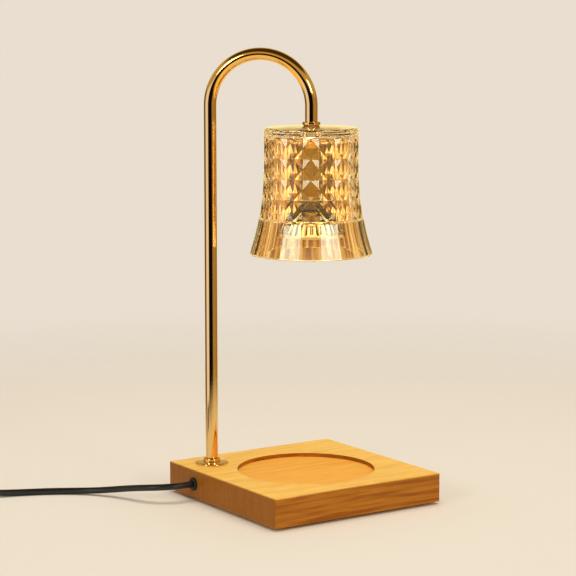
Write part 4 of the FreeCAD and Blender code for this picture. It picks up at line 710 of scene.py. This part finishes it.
def plug_sections(z, sides=96, power=2 / 5):
    """Rounded rectangles |cos a|^p, |sin a|^p that widen towards the blades, with a quarter round
    at each end.
    """
    wide = 7.5 + 4.5 * smooth_step((z - relief_long) / 14)
    high = 6.3 + 1.7 * smooth_step((z - relief_long) / 14)
    wide = wide - 0.5 * grooves(z, 3.0, 43.5, 5.8)
    near_end = np.clip(1 - np.minimum(z - relief_long, plug_end - z) / end_round, 0, 1)
    trim = end_round * (1 - np.sqrt(1 - near_end**2))
    angle = np.linspace(0, 2 * np.pi, sides, endpoint=False)
    x = np.sign(np.cos(angle)) * np.abs(np.cos(angle)) ** power
    y = np.sign(np.sin(angle)) * np.abs(np.sin(angle)) ** power
    x, y = (wide - trim)[:, None] * x, (high - trim)[:, None] * y
    return np.stack([x, y, np.broadcast_to(z[:, None], x.shape)], -1)


fine = end_round * (1 - np.cos(np.linspace(0, np.pi / 2, 7)))
z = np.concatenate([relief_long + fine, np.linspace(27, 53, 105), plug_end - fine[::-1]])
plug_shell = from_grid("moulded_plug", towards_wall(plug_sections(z)) * MM, closed=False)
print("plug:", len(plug_shell.data.polygons), "faces")

# %% [markdown]
# ## Finishes
# Each material is named for what the real one is. It starts from typical values for that
# material, and its grain has a size in millimetres, so the same recipe looks right on any piece.
#
# The base is planed beech, finished with oil: honey coloured on top, with faint growth rings and
# fine fibres. Its sides are more streaked than the top, and painted deeper, which is painted
# shade. Its end grain is painted darkest and plainest: partly the deeper tone that end grain
# takes from oil, partly painted shade. The floor of the recess is painted deeper than the top,
# as painted shade. An image of wood would have to be fitted to each side. Here the rings are
# drawn in space, as they grew, so they meet at the edges as in a real block.


# %% Beech grain
def beech_grain(tree, coordinates):
    """The tints that colour the wood, by name, and the fibre that also roughens it. Growth rings
    run about a pith along X below the block: ring number = distance to the pith / ring width.
    """
    ring_width, wander_by = 6.5 * MM, 2.4
    placed = {"Vector": coordinates["Object"], "Location": (0, 0.022, 0.05), "Scale": (0, 1, 1)}
    from_pith = add(tree, "Mapping", placed).outputs[0]
    distance = add(tree, "VectorMath", {0: from_pith}, operation="LENGTH").outputs["Value"]
    rings = add(tree, "Math", {0: distance, 1: 1 / ring_width}, operation="MULTIPLY").outputs[0]
    place = grained(tree, 80, 14, 14)
    wander = add(tree, "TexNoise", {"Vector": place, "Scale": 1.0, "Detail": 3.0}).outputs[0]
    rings = add(tree, "Math", {0: wander, 1: wander_by, 2: rings}, operation="MULTIPLY_ADD")
    share = add(tree, "Math", {0: rings.outputs[0]}, operation="FRACT").outputs[0]
    early_wood = [(0.0, "#FFFFFF"), (0.55, "#F7EBDC")]
    late_wood = [(0.88, "#CFA27A"), (0.96, "#D9B590"), (1.0, "#FFFFFF")]
    growth = add(tree, "ValToRGB", {"Fac": share}, stops=early_wood + late_wood)
    tints, noises = {"growth": growth.outputs["Color"]}, {}
    for name, size, detail, low, dark, high in [
        ("streak", grained(tree, 24, 0.9, 0.9), 4.0, 0.34, "#C89B72", 0.6),
        ("flame", grained(tree, 60, 5, 3.2, (3, 5, 8)), 2.0, 0.36, "#B9875C", 0.58),
        ("cut", grained(tree, 4, 3, 30), 3.0, 0.3, "#D8B694", 0.62),
    ]:
        noise = add(tree, "TexNoise", {"Vector": size, "Scale": 1.0, "Detail": detail})
        noises[name] = noise.outputs[0]
        tint = add(tree, "ValToRGB", {"Fac": noises[name]}, stops=[(low, dark), (high, "#FFFFFF")])
        tints[name] = tint.outputs["Color"]
    return tints, noises["streak"]


# %% Oiled beech
def oiled_beech(tree):
    """Each way of cutting has its own colour, multiplied by its tints. The sides and the end grain
    are darker than the top as painted shade, the end grain partly by its own deeper tone. The
    normal tells the ways apart, and the level picks out the recess in the top, whose floor is
    painted deeper as painted shade.
    """
    coordinates = add(tree, "TexCoord").outputs
    tints, fibre = beech_grain(tree, coordinates)
    level = add(tree, "SeparateXYZ", {"Vector": coordinates["Object"]}).outputs["Z"]
    # below the top, the recess floor takes a deeper colour: painted shade
    recess_shade_mask = add(tree, "MapRange", {0: level, 1: 23.2 * MM, 2: 22 * MM}).outputs[0]
    top = add(tree, "Mix", {0: recess_shade_mask, 6: "#FFD06A", 7: "#FFBE50"}, data_type="RGBA").outputs[2]
    oiled_and_shaded = {}
    # the side and end colours are darker than the top: painted shade, and for the end grain partly
    # its own deeper tone
    for face, colour, layers in [
        ("top", top, [(0.22, "growth"), (0.3, "streak")]),
        ("side", "#CC8220", [(0.35, "growth"), (0.5, "flame"), (0.35, "streak")]),
        ("end", "#AA6814", [(0.3, "cut"), (0.12, "growth")]),
    ]:
        for share, tint in layers:
            inputs = {0: share, 6: colour, 7: tints[tint]}
            layer = add(tree, "Mix", inputs, data_type="RGBA", blend_type="MULTIPLY")
            colour = layer.outputs[2]
        oiled_and_shaded[face] = colour

    facing = add(tree, "SeparateXYZ", {"Vector": coordinates["Normal"]}).outputs
    end_grain = add(tree, "Math", {0: facing["X"]}, operation="ABSOLUTE").outputs[0]
    end_grain = add(tree, "MapRange", {0: end_grain, 1: 0.55, 2: 0.85}).outputs[0]
    # the faces that stand up take the darker side and end colours: painted shade
    upright = add(tree, "Math", {0: facing["Z"]}, operation="ABSOLUTE").outputs[0]
    upright = add(tree, "MapRange", {0: upright, 1: 0.9, 2: 0.6}).outputs[0]
    side = add(tree, "Mix", {0: end_grain, 6: oiled_and_shaded["side"], 7: oiled_and_shaded["end"]}, data_type="RGBA")
    wood = add(tree, "Mix", {0: upright, 6: oiled_and_shaded["top"], 7: side.outputs[2]}, data_type="RGBA")

    shine = add(tree, "MapRange", {0: fibre, 3: 0.52, 4: 0.38}).outputs[0]
    relief = add(tree, "Bump", {"Height": fibre, "Strength": 0.1, "Distance": 0.2 * MM}).outputs[0]
    inputs = {"Base Color": wood.outputs[2], "Roughness": shine, "Normal": relief}
    return add(tree, "BsdfPrincipled", {**inputs, "Specular IOR Level": 0.2})


# warm and deep, with a soft sheen: oil fills the pores, so the wood has little gloss of its own
finish = {"beech": material("oiled_beech", oiled_beech)}
print("beech:", len(finish["beech"].node_tree.nodes), "nodes")

# %% [markdown]
# The gold parts are steel tube and turned brass with a thin gold-coloured plate. Polish leaves a
# mirror, and wiping leaves faint marks that only blur it a little. A single roughness would look
# like a computer's metal, so a soft noise moves it between two values.


# %% Metals
def plated(tree, colour, smooth, rough, mark=18):
    """A metal whose roughness drifts between two values over marks of some millimetres."""
    wipe = {"Vector": grained(tree, mark, mark, mark / 3), "Scale": 1.0, "Detail": 3.0}
    wipe = add(tree, "TexNoise", wipe).outputs[0]
    blur = add(tree, "MapRange", {0: wipe, 1: 0.35, 2: 0.7, 3: smooth, 4: rough}).outputs[0]
    return add(tree, "BsdfPrincipled", {"Base Color": colour, "Metallic": 1.0, "Roughness": blur})


for slot, name, colour, smooth, rough, mark in [
    # a clean warm mirror, hardly dulled by wiping
    ("gold_plate", "polished_gold_plate", "#EFC47D", 0.04, 0.1, 18),
    # dark gold, painted darker than the other gold parts as painted shade for its place inside the
    # shade; its light spreads into a soft glow
    ("satin_gold_shaded", "brushed_gold_plate", "#937C36", 0.26, 0.38, 6),
    # cool grey with a soft, slightly cloudy shine
    ("zinc_steel", "zinc_plated_steel", "#BFC2C8", 0.24, 0.4, 3),
    # warm silver, half polished
    ("nickel", "nickel_plated_brass", "#CFC8BA", 0.16, 0.28, 4),
    # bare yellow metal, rolled and a little dull
    ("contact_brass", "spring_brass", "#DDB670", 0.22, 0.34, 3),
    # plain grey, as it comes from the press
    ("pot_steel", "stamped_steel", "#B4B2AC", 0.3, 0.44, 3),
    # dark drawn wire with a satin skin
    ("tungsten", "tungsten", "#8D8781", 0.3, 0.45, 1),
]:
    values = {"colour": colour, "smooth": smooth, "rough": rough, "mark": mark}
    finish[slot] = material(name, plated, **values)
print(len(finish), "finishes so far")

# %% [markdown]
# The reflector is aluminium, deposited on the pressed glass in a vacuum. It is bright where the
# glass is smooth and grey where the glass is rough, so one recipe changes with the level.


# %% Mirror coat
def aluminised(tree):
    """Bright on the flutes, and dull above 215 mm, on the knurled neck."""
    level = add(tree, "TexCoord").outputs["Object"]
    level = add(tree, "SeparateXYZ", {"Vector": level}).outputs["Z"]
    dull = add(tree, "MapRange", {0: level, 1: 214.4 * MM, 2: 215 * MM}).outputs[0]
    coat = add(tree, "Mix", {0: dull, 6: "#EFE6D2", 7: "#6E5F3A"}, data_type="RGBA").outputs[2]
    blur = add(tree, "MapRange", {0: dull, 3: 0.08, 4: 0.2}).outputs[0]
    return add(tree, "BsdfPrincipled", {"Base Color": coat, "Metallic": 1.0, "Roughness": blur})


# sharp white streaks between dark ones on each flute
finish["reflector_coat"] = material("aluminised_glass", aluminised)
print("mirror coat:", len(finish["reflector_coat"].node_tree.nodes), "nodes")

# %% [markdown]
# Pressed soda-lime glass is tinted through and through. A Volume shader would colour it by its
# thickness, but it is slow and noisy, so the colour here is that of one wall, and light that
# crosses more walls goes deeper. Light that falls through glass lands as a pale amber patch, not
# as a dark shadow: for shadow rays the glass is a tinted veil.


# %% Glass
def veiled(tree, glass, veil):
    """Lets shadow rays through a tinted Transparent shader, and everything else see the glass."""
    path = add(tree, "LightPath").outputs["Is Shadow Ray"]
    through = add(tree, "BsdfTransparent", {"Color": veil})
    return add(tree, "MixShader", {0: path, 1: glass.outputs[0], 2: through.outputs[0]})


def amber_glass(tree):
    """Tinted glass with the faint waves, 9 to 14 mm long, that a mould leaves in its skin."""
    waves = {"Vector": grained(tree, 9, 9, 14), "Scale": 1.0, "Detail": 2.0}
    waves = add(tree, "TexNoise", waves).outputs[0]
    skin = add(tree, "Bump", {"Height": waves, "Strength": 0.12, "Distance": 0.3 * MM}).outputs[0]
    inputs = {"Base Color": "#F9E1B0", "Roughness": 0.02, "IOR": 1.52, "Transmission Weight": 1.0}
    glass = add(tree, "BsdfPrincipled", {**inputs, "Normal": skin})
    return veiled(tree, glass, "#FBE8C8")


def clear_glass(tree):
    """Borosilicate, with the fine stipple, 1.6 mm apart, that spreads a reflector bulb's beam."""
    dots = {"Vector": grained(tree, 1.6, 1.6, 1.6), "Scale": 1.0}
    dots = add(tree, "TexVoronoi", dots).outputs["Distance"]
    skin = add(tree, "Bump", {"Height": dots, "Strength": 0.35, "Distance": 0.3 * MM}).outputs[0]
    inputs = {"Base Color": "#FBFAF5", "Roughness": 0.06, "IOR": 1.47, "Transmission Weight": 1.0}
    glass = add(tree, "BsdfPrincipled", {**inputs, "Normal": skin})
    return veiled(tree, glass, "#F2F2EE")


# honey amber that sparkles wherever a facet turns the light
finish["amber_glass"] = material("pressed_amber_glass", amber_glass)
# nearly colourless, and frosted enough to hide what is behind it
finish["clear_glass"] = material("stippled_borosilicate", clear_glass)
print(len(finish), "finishes so far")

# %% [markdown]
# Moulded pieces copy the fine spark-eroded grain of their mould. Fired ceramics have a coarser,
# shallower one. One recipe serves them all, with a grain size in millimetres and a roughness
# for each: what the eye tells apart is how wide and how clean the highlight is.


# %% Plastics, rubber and ceramics
def moulded(tree, colour, roughness, grain, height=0.05, softness=0.0):
    """Even colour, with a grain of some millimetres in the relief and in the gloss."""
    skin = {"Vector": grained(tree, grain, grain, grain), "Scale": 1.0, "Detail": 3.0}
    skin = add(tree, "TexNoise", skin).outputs[0]
    gloss = add(tree, "MapRange", {0: skin, 3: roughness - 0.05, 4: roughness + 0.08}).outputs[0]
    relief = add(tree, "Bump", {"Height": skin, "Strength": 0.5, "Distance": height * MM})
    inputs = {"Base Color": colour, "Roughness": gloss, "Normal": relief.outputs[0], "IOR": 1.5}
    if softness:
        inputs.update({"Subsurface Weight": softness, "Subsurface Scale": 1.5 * MM})
    return add(tree, "BsdfPrincipled", inputs)


for slot, name, colour, roughness, grain, height, softness in [
    # smooth black with a long soft highlight
    ("cord_sheath", "extruded_pvc", "#18181A", 0.34, 3.0, 0.03, 0.0),
    # black, a little duller and finely grained
    ("plug_pvc", "moulded_pvc", "#1A1A1C", 0.42, 0.7, 0.05, 0.0),
    # matt black that hardly shines
    ("black_rubber", "black_rubber", "#171718", 0.55, 0.8, 0.05, 0.0),
    # black with a leathery grain
    ("dimmer_case", "grained_abs", "#1D1D1F", 0.46, 0.6, 0.06, 0.0),
    # grey, so that the wheel stands out from its case
    ("wheel_plastic", "grey_abs", "#4A4A4D", 0.4, 0.9, 0.05, 0.0),
    # plain dark plastic under the base
    ("cover_plastic", "cover_abs", "#222223", 0.5, 0.6, 0.05, 0.0),
    # chalky warm white, unglazed
    ("ceramic", "steatite", "#E9E3D6", 0.5, 1.2, 0.03, 0.0),
    # cream with a glassy shine
    ("bulb_cap", "glazed_ceramic", "#EDE8DC", 0.25, 4.0, 0.02, 0.0),
    # honey coloured and slightly translucent
    ("silicone", "silicone", "#B5823E", 0.4, 2.0, 0.05, 0.3),
    # milky, with a waxy glow
    ("nylon", "natural_nylon", "#E4E0D3", 0.38, 1.5, 0.05, 0.2),
    # pale and matt, like woven glass under varnish
    ("lead_sleeve", "lead_sleeve", "#CFC8B8", 0.55, 0.8, 0.05, 0.0),
    # green lacquer with a wet shine
    ("board", "solder_mask", "#24573A", 0.3, 2.5, 0.03, 0.0),
]:
    values = {"roughness": roughness, "grain": grain, "height": height, "softness": softness}
    finish[slot] = material(name, moulded, colour=colour, **values)
print(len(finish), "finishes so far")

# %% [markdown]
# The foot pad is foam, cut from a sheet, and the strap is woven tape. Real pores and yarns are
# far too many to model, so both are drawn by textures, a little coarser than life to show.


# %% Foam and tape
def foam(tree):
    """EVA foam cut from a sheet: closed cells of about 0.8 mm show as tiny pits."""
    cells = {"Vector": grained(tree, 0.8, 0.8, 0.8), "Scale": 1.0}
    cells = add(tree, "TexVoronoi", cells).outputs["Distance"]
    pits = add(tree, "Bump", {"Height": cells, "Strength": 0.6, "Distance": 0.2 * MM}).outputs[0]
    # the pits are painted darker than the rims of the cells: painted shade
    colour = add(tree, "ValToRGB", {"Fac": cells}, stops=[(0.0, "#141312"), (0.6, "#24221F")])
    inputs = {"Base Color": colour.outputs[0], "Roughness": 0.85, "Normal": pits}
    return add(tree, "BsdfPrincipled", inputs)


def woven(tree):
    """A plain weave of 0.9 mm yarns, drawn as the product of two crossed waves, with a nap."""
    yarns = {"Vector": grained(tree, 0.9, 0.9, 0.9), "Scale": 0.31}
    warp = add(tree, "TexWave", yarns, bands_direction="Y").outputs["Fac"]
    weft = add(tree, "TexWave", yarns, bands_direction="DIAGONAL").outputs["Fac"]
    cloth = add(tree, "Math", {0: warp, 1: weft}, operation="MULTIPLY").outputs[0]
    yarn = add(tree, "Bump", {"Height": cloth, "Strength": 0.7, "Distance": 0.25 * MM}).outputs[0]
    # the weave is painted darker where the yarns dip and lighter on their tops: painted shade
    colour = add(tree, "ValToRGB", {"Fac": cloth}, stops=[(0.0, "#101011"), (1.0, "#2B2B2D")])
    inputs = {"Base Color": colour.outputs[0], "Roughness": 0.9, "Normal": yarn}
    return add(tree, "BsdfPrincipled", {**inputs, "Sheen Weight": 0.4})


# dull black with tiny pits, and no highlight at all
finish["eva_pad"] = material("eva_foam", foam)
# matt black cloth with a pale edge where the nap catches light
finish["hook_loop"] = material("hook_and_loop", woven)
print(len(finish), "finishes")

# %% [markdown]
# ## Dressing the lamp
# The CAD pieces that stay get their finish by the slot in the record. Only the socket cup has
# a finish of its own, a darker gold that is painted shade for its place inside the shade. Each
# piece made here rides on a body, so that it moves with it, and stands for the CAD pieces that
# it hides.


# %% Put the finishes on
def dress(piece, finish, body="stand", stands_for=()):
    """Gives a new piece its material and its body, and hides the CAD nodes that it stands for."""
    piece.data.materials.clear()
    piece.data.materials.append(finish)
    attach(piece, body)
    if stands_for:
        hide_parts(*stands_for)


for name, node in nodes.items():
    node.data.materials.clear()
    node.data.materials.append(finish["satin_gold_shaded" if name == "socket_cup" else slot_of[name]])

for piece, replaced, body in [
    (shade, "glass_shade", "stand"),
    (arched_tube, "arch_tube", "stand"),
    (flange_disc, "post_flange", "stand"),
    (foot_ring, "post_collar", "stand"),
    (shade_ring, "shade_collar", "stand"),
    (reflector, "bulb_reflector", "bulb"),
    (ferrule, "bulb_ferrule", "bulb"),
    (cord_bushing, "cord_grommet", "stand"),
    (strap, "cord_tie", "stand"),
    (plug_relief, "plug_relief", "stand"),
    (plug_shell, "plug_body", "stand"),
    (lead_cord, "cord_lead", "stand"),
]:
    dress(piece, finish[slot_of[replaced]], body, [replaced])
dress(plug_cord, finish["cord_sheath"], "stand", ["cord_tail", "cord_coil", "cord_end"])
dress(filament, finish["tungsten"], "bulb")
print("finishes in use:", len({*slot_of.values(), "satin_gold_shaded"}), "of", len(finish))

# %% [markdown]
# ## Studio
# A pale table fades into a backdrop of the same colour. A studio has a curved sheet for that,
# and one could be modelled. A flat floor that turns clear further out looks the same and leaves
# no line at the back. It fades sooner in reflections, so that metal mirrors less of it.

# %% Floor
BACKDROP = "#E9DECF"


def table_paper(tree):
    """Matt pale paper, opaque round the lamp. From 0.42 to 1 m out it turns clear and shows the
    backdrop, and in reflections from 0.21 to 0.5 m.
    """
    where = add(tree, "TexCoord").outputs["Object"]
    far = add(tree, "VectorMath", {0: where}, operation="LENGTH").outputs["Value"]
    path = add(tree, "LightPath").outputs
    mirrored = {0: path["Is Glossy Ray"], 1: path["Is Transmission Ray"]}
    mirrored = add(tree, "Math", mirrored, operation="SUBTRACT").outputs[0]
    reach = add(tree, "MapRange", {0: mirrored, 3: 1.0, 4: 2.0}).outputs[0]
    far = add(tree, "Math", {0: far, 1: reach}, operation="MULTIPLY").outputs[0]
    fade = add(tree, "MapRange", {0: far, 1: 0.42, 2: 1.0}, interpolation_type="SMOOTHSTEP")
    fleck = {"Vector": grained(tree, 1.5, 1.5, 1.5), "Scale": 1.0, "Detail": 3.0}
    fleck = add(tree, "TexNoise", fleck).outputs[0]
    colour = add(tree, "ValToRGB", {"Fac": fleck}, stops=[(0.0, "#E5DDD2"), (1.0, "#EFE8DE")])
    paper = add(tree, "BsdfPrincipled", {"Base Color": colour.outputs["Color"], "Roughness": 0.8})
    clear = add(tree, "BsdfTransparent")
    inputs = {0: fade.outputs[0], 1: paper.outputs[0], 2: clear.outputs[0]}
    return add(tree, "MixShader", inputs)


floor = new_piece("floor", [(-2, -2, 0), (2, -2, 0), (2, 2, 0), (-2, 2, 0)], [(0, 1, 2, 3)])
floor.data.materials.append(material("table_paper", table_paper))
print("floor:", floor.dimensions.x, "m wide")

# %% [markdown]
# ## What metal and glass see
# Polished metal and cut glass show what stands round them, and they look flat in an even room.
# In a studio, white and black cards are stood up for them. Cards could be modelled, but they
# would also light the lamp. Colour ramps in the World give them to chosen rays only. One kind of
# ramp runs over the bearing, which is the way a ray points as seen from above, and another over
# its height.

# %% Bearing and height
world = bpy.data.worlds.new("studio")
bpy.context.scene.world = world
world.use_nodes = True
tree = world.node_tree
tree.nodes.clear()
direction = add(tree, "TexCoord").outputs["Generated"]
height = add(tree, "SeparateXYZ", {"Vector": direction}).outputs["Z"]
level = add(tree, "MapRange", {0: height, 1: -0.5, 2: 0.5}).outputs[0]
camera_bearing = math.atan2(towards_camera.y, towards_camera.x)
turned = {"Vector": direction, "Rotation": (0, 0, -camera_bearing)}
turned = add(tree, "Mapping", turned).outputs[0]
bearing = add(tree, "TexGradient", {"Vector": turned}, gradient_type="RADIAL").outputs["Fac"]


def cards(*stops):
    """Stops for a ramp over the bearing, in degrees from the camera's. The left is below 0."""
    return [(0.5 + degrees / 360, *card) for degrees, *card in stops]


def heights(*stops):
    """Stops for a ramp over the sine of the height above the horizon, from -0.5 to 0.5."""
    return [(0.5 + sine, *card) for sine, *card in stops]


print("the camera stands at", round(math.degrees(camera_bearing)), "degrees")

# %% [markdown]
# The tube draws the bearing as upright stripes. From the left it shows a cool white card, a
# black flag behind the camera and a tan cloth, with a warm white card behind the lamp. The
# ceiling is dull gold and darkens overhead, which gives the arch its dark line, and a gold card
# lies below the horizon.

# %% What metal mirrors
wall = cards(
    (-180, "#FFE69C", 1.3),
    (-168, "#FFE69C", 1.3),
    (-160, "#6C4E18"),
    (-98, "#806023"),
    (-86, "#DCE2F8", 1.3),
    (-44, "#DCE2F8", 1.3),
    (-33, "#160702"),
    (27, "#160702"),
    (38, "#A4956E"),
    (50, "#A4956E"),
    (58, "#B39C63"),
    (110, "#A98D4C"),
    (122, "#A37C31"),
    (160, "#A37C31"),
    (168, "#FFE69C", 1.3),
)
mirrored = add(tree, "ValToRGB", {"Fac": bearing}, stops=wall).outputs["Color"]
high = add(tree, "MapRange", {0: height, 1: 0.58, 2: 0.7}).outputs[0]
nearer = add(tree, "SeparateXYZ", {"Vector": turned}).outputs["X"]
nearer = add(tree, "MapRange", {0: nearer, 1: -0.62, 2: -0.5}).outputs[0]
dark = add(tree, "Math", {0: high, 1: nearer}, operation="MULTIPLY").outputs[0]
overhead = add(tree, "Mix", {0: dark, 6: "#C6B17B", 7: "#4A3212"}, data_type="RGBA").outputs[2]
above = add(tree, "MapRange", {0: height, 1: 0.13, 2: 0.22}).outputs[0]
mirrored = add(tree, "Mix", {0: above, 6: mirrored, 7: overhead}, data_type="RGBA").outputs[2]
below = add(tree, "MapRange", {0: height, 1: -0.25, 2: -0.4}).outputs[0]
gold_card = [(0.0, "#FFDC80", 1.15), (1.0, "#FFDC80", 1.15)]
gold_card = add(tree, "ValToRGB", stops=gold_card).outputs["Color"]
mirrored = add(tree, "Mix", {0: below, 6: mirrored, 7: gold_card}, data_type="RGBA").outputs[2]
print(len(wall), "cards round the lamp")

# %% [markdown]
# A ray that only passes through the shade sees a warm room: amber high and low, tan in between
# and a bright window at eye level. Patches from nearly black to white lie over all of it. Every
# facet bends its rays towards another patch, and that is where the dark flecks and the sparkle
# of the shade come from.

# %% What shows through the glass
through = heights(
    (-0.5, "#F4C77E"),
    (-0.3, "#D29C50"),
    (-0.19, "#D29C50"),
    (-0.15, "#E2C89E"),
    (-0.05, "#E2C89E"),
    (-0.01, "#FFF6E6", 1.6),
    (0.24, "#FFF6E6", 1.6),
    (0.4, "#E9C793"),
)
through = add(tree, "ValToRGB", {"Fac": level}, stops=through).outputs["Color"]
patches = add(tree, "TexNoise", {"Vector": direction, "Scale": 8.0, "Detail": 4.0}).outputs[0]
warm = [(0.365, "#3A1E04"), (0.405, "#A86C12"), (0.45, "#E8B650"), (0.5, "#FFF2CE")]
warm += [(0.58, "#FFFFFF", 1.35)]
room = add(tree, "ValToRGB", {"Fac": patches}, stops=warm).outputs["Color"]
through = {0: 0.9, 6: through, 7: room}
through = add(tree, "Mix", through, data_type="RGBA", blend_type="MULTIPLY").outputs[2]
print(len(warm), "tones of the room")

# %% [markdown]
# A ray can also bounce inside the shade, off the bulb or off a far wall, before it leaves. It
# sees a white room in front and a dark one behind, the same patches more faintly, and above
# them a bright strip towards the camera. These rays fill the facets with light and give the
# bulb's flutes their white streaks.

# %% What shows from inside the glass
inside = cards((-138, "#3A2408"), (-112, "#FFFAF0", 1.5), (112, "#FFFAF0", 1.5), (138, "#3A2408"))
inside = add(tree, "ValToRGB", {"Fac": bearing}, stops=inside).outputs["Color"]
inside = {0: 0.6, 6: inside, 7: room}
inside = add(tree, "Mix", inside, data_type="RGBA", blend_type="MULTIPLY").outputs[2]
sides = cards(
    (-145, "#FFF0D2"),
    (-125, "#2A1C0A"),
    (-48, "#241808"),
    (-38, "#ECF2FF", 3.2),
    (38, "#ECF2FF", 3.2),
    (48, "#241808"),
    (125, "#2A1C0A"),
    (145, "#FFF0D2"),
)
sides = add(tree, "ValToRGB", {"Fac": bearing}, stops=sides).outputs["Color"]
strip_from, strip_full = 0.4, 0.5
steep = add(tree, "MapRange", {0: height, 1: strip_from, 2: strip_full}).outputs[0]
inside = add(tree, "Mix", {0: steep, 6: inside, 7: sides}, data_type="RGBA").outputs[2]
crown = add(tree, "MapRange", {0: height, 1: 0.87, 2: 0.91}).outputs[0]
inside = add(tree, "Mix", {0: crown, 6: inside, 7: "#3B2C12"}, data_type="RGBA").outputs[2]
print("the strip starts", round(math.degrees(math.asin(strip_from))), "degrees up")

# %% [markdown]
# The Light Path node tells the rays apart. The camera sees the backdrop. A ray that has bounced
# off something shiny sees the cards, or the inside view where its last step was through glass.
# A ray that was only bent by glass sees the room. All others are plain soft light, and they see
# an even grey.

# %% Which ray sees what
path = add(tree, "LightPath").outputs
leaving = path["Is Transmission Ray"]
bounced = add(tree, "Math", {0: path["Glossy Depth"], 1: 0.5}, operation="GREATER_THAN")
bounced = {0: bounced.outputs[0], 1: path["Is Glossy Ray"]}
bounced = add(tree, "Math", bounced, operation="MULTIPLY").outputs[0]
mirrored = add(tree, "Mix", {0: leaving, 6: mirrored, 7: inside}, data_type="RGBA").outputs[2]
light = {0: path["Is Camera Ray"], 6: "#8F8C87", 7: BACKDROP}
light = add(tree, "Mix", light, data_type="RGBA").outputs[2]
light = add(tree, "Mix", {0: leaving, 6: light, 7: through}, data_type="RGBA").outputs[2]
light = add(tree, "Mix", {0: bounced, 6: light, 7: mirrored}, data_type="RGBA").outputs[2]
sky = add(tree, "Background", {"Color": light, "Strength": 1.0})
add(tree, "OutputWorld", {"Surface": sky.outputs[0]})
print("world:", len(tree.nodes), "nodes")

# %% [markdown]
# A large soft lamp above lights the lamp evenly and leaves a soft shadow on the table. Metal
# doesn't mirror it, because the ceiling of the cards is there. Two soft boxes, left and right of
# the camera and a little above it, give the cut glass its white glints. Light crosses cut glass
# many times, so rays may bounce 40 times here: with fewer, the shade's outlines turn black.


# %% Lamps
def soft_lamp(name, place, size, watts, colour, aim=(0, 0, 0.15)):
    """A square area lamp that faces the middle of the object."""
    lamp = bpy.data.lights.new(name, "AREA")
    lamp.shape = "SQUARE"
    lamp.size, lamp.energy = size, watts
    lamp.color = linear(colour)[:3]
    holder = bpy.data.objects.new(name, lamp)
    bpy.context.scene.collection.objects.link(holder)
    holder.location = place
    holder.rotation_mode = "QUATERNION"
    holder.rotation_quaternion = (Vector(aim) - Vector(place)).to_track_quat("-Z", "Y")
    return holder


def beside_camera(degrees, up_degrees, distance=2.7, shade_height=0.24):
    """A place so many degrees from the camera's bearing, left of the picture below 0, and so many
    above the shade.
    """
    around, up = camera_bearing + math.radians(degrees), math.radians(up_degrees)
    flat = distance * math.cos(up)
    height = shade_height + distance * math.sin(up)
    return (flat * math.cos(around), flat * math.sin(around), height)


top_lamp = soft_lamp("top_lamp", (0.1, 0.0, 2.6), size=2.0, watts=54, colour="#FFF6EA")
top_lamp.visible_glossy = False
soft_lamp("right_box", beside_camera(38.5, 20), size=0.62, watts=13, colour="#F2F8E0")
soft_lamp("left_box", beside_camera(-42, 20), size=0.62, watts=12, colour="#F2F8E0")
bpy.context.scene.view_settings.view_transform = "Standard"
cycles = bpy.context.scene.cycles
cycles.max_bounces = cycles.transmission_bounces = cycles.glossy_bounces = 40
print("lamps:", *(lamp.name for lamp in bpy.data.lights))
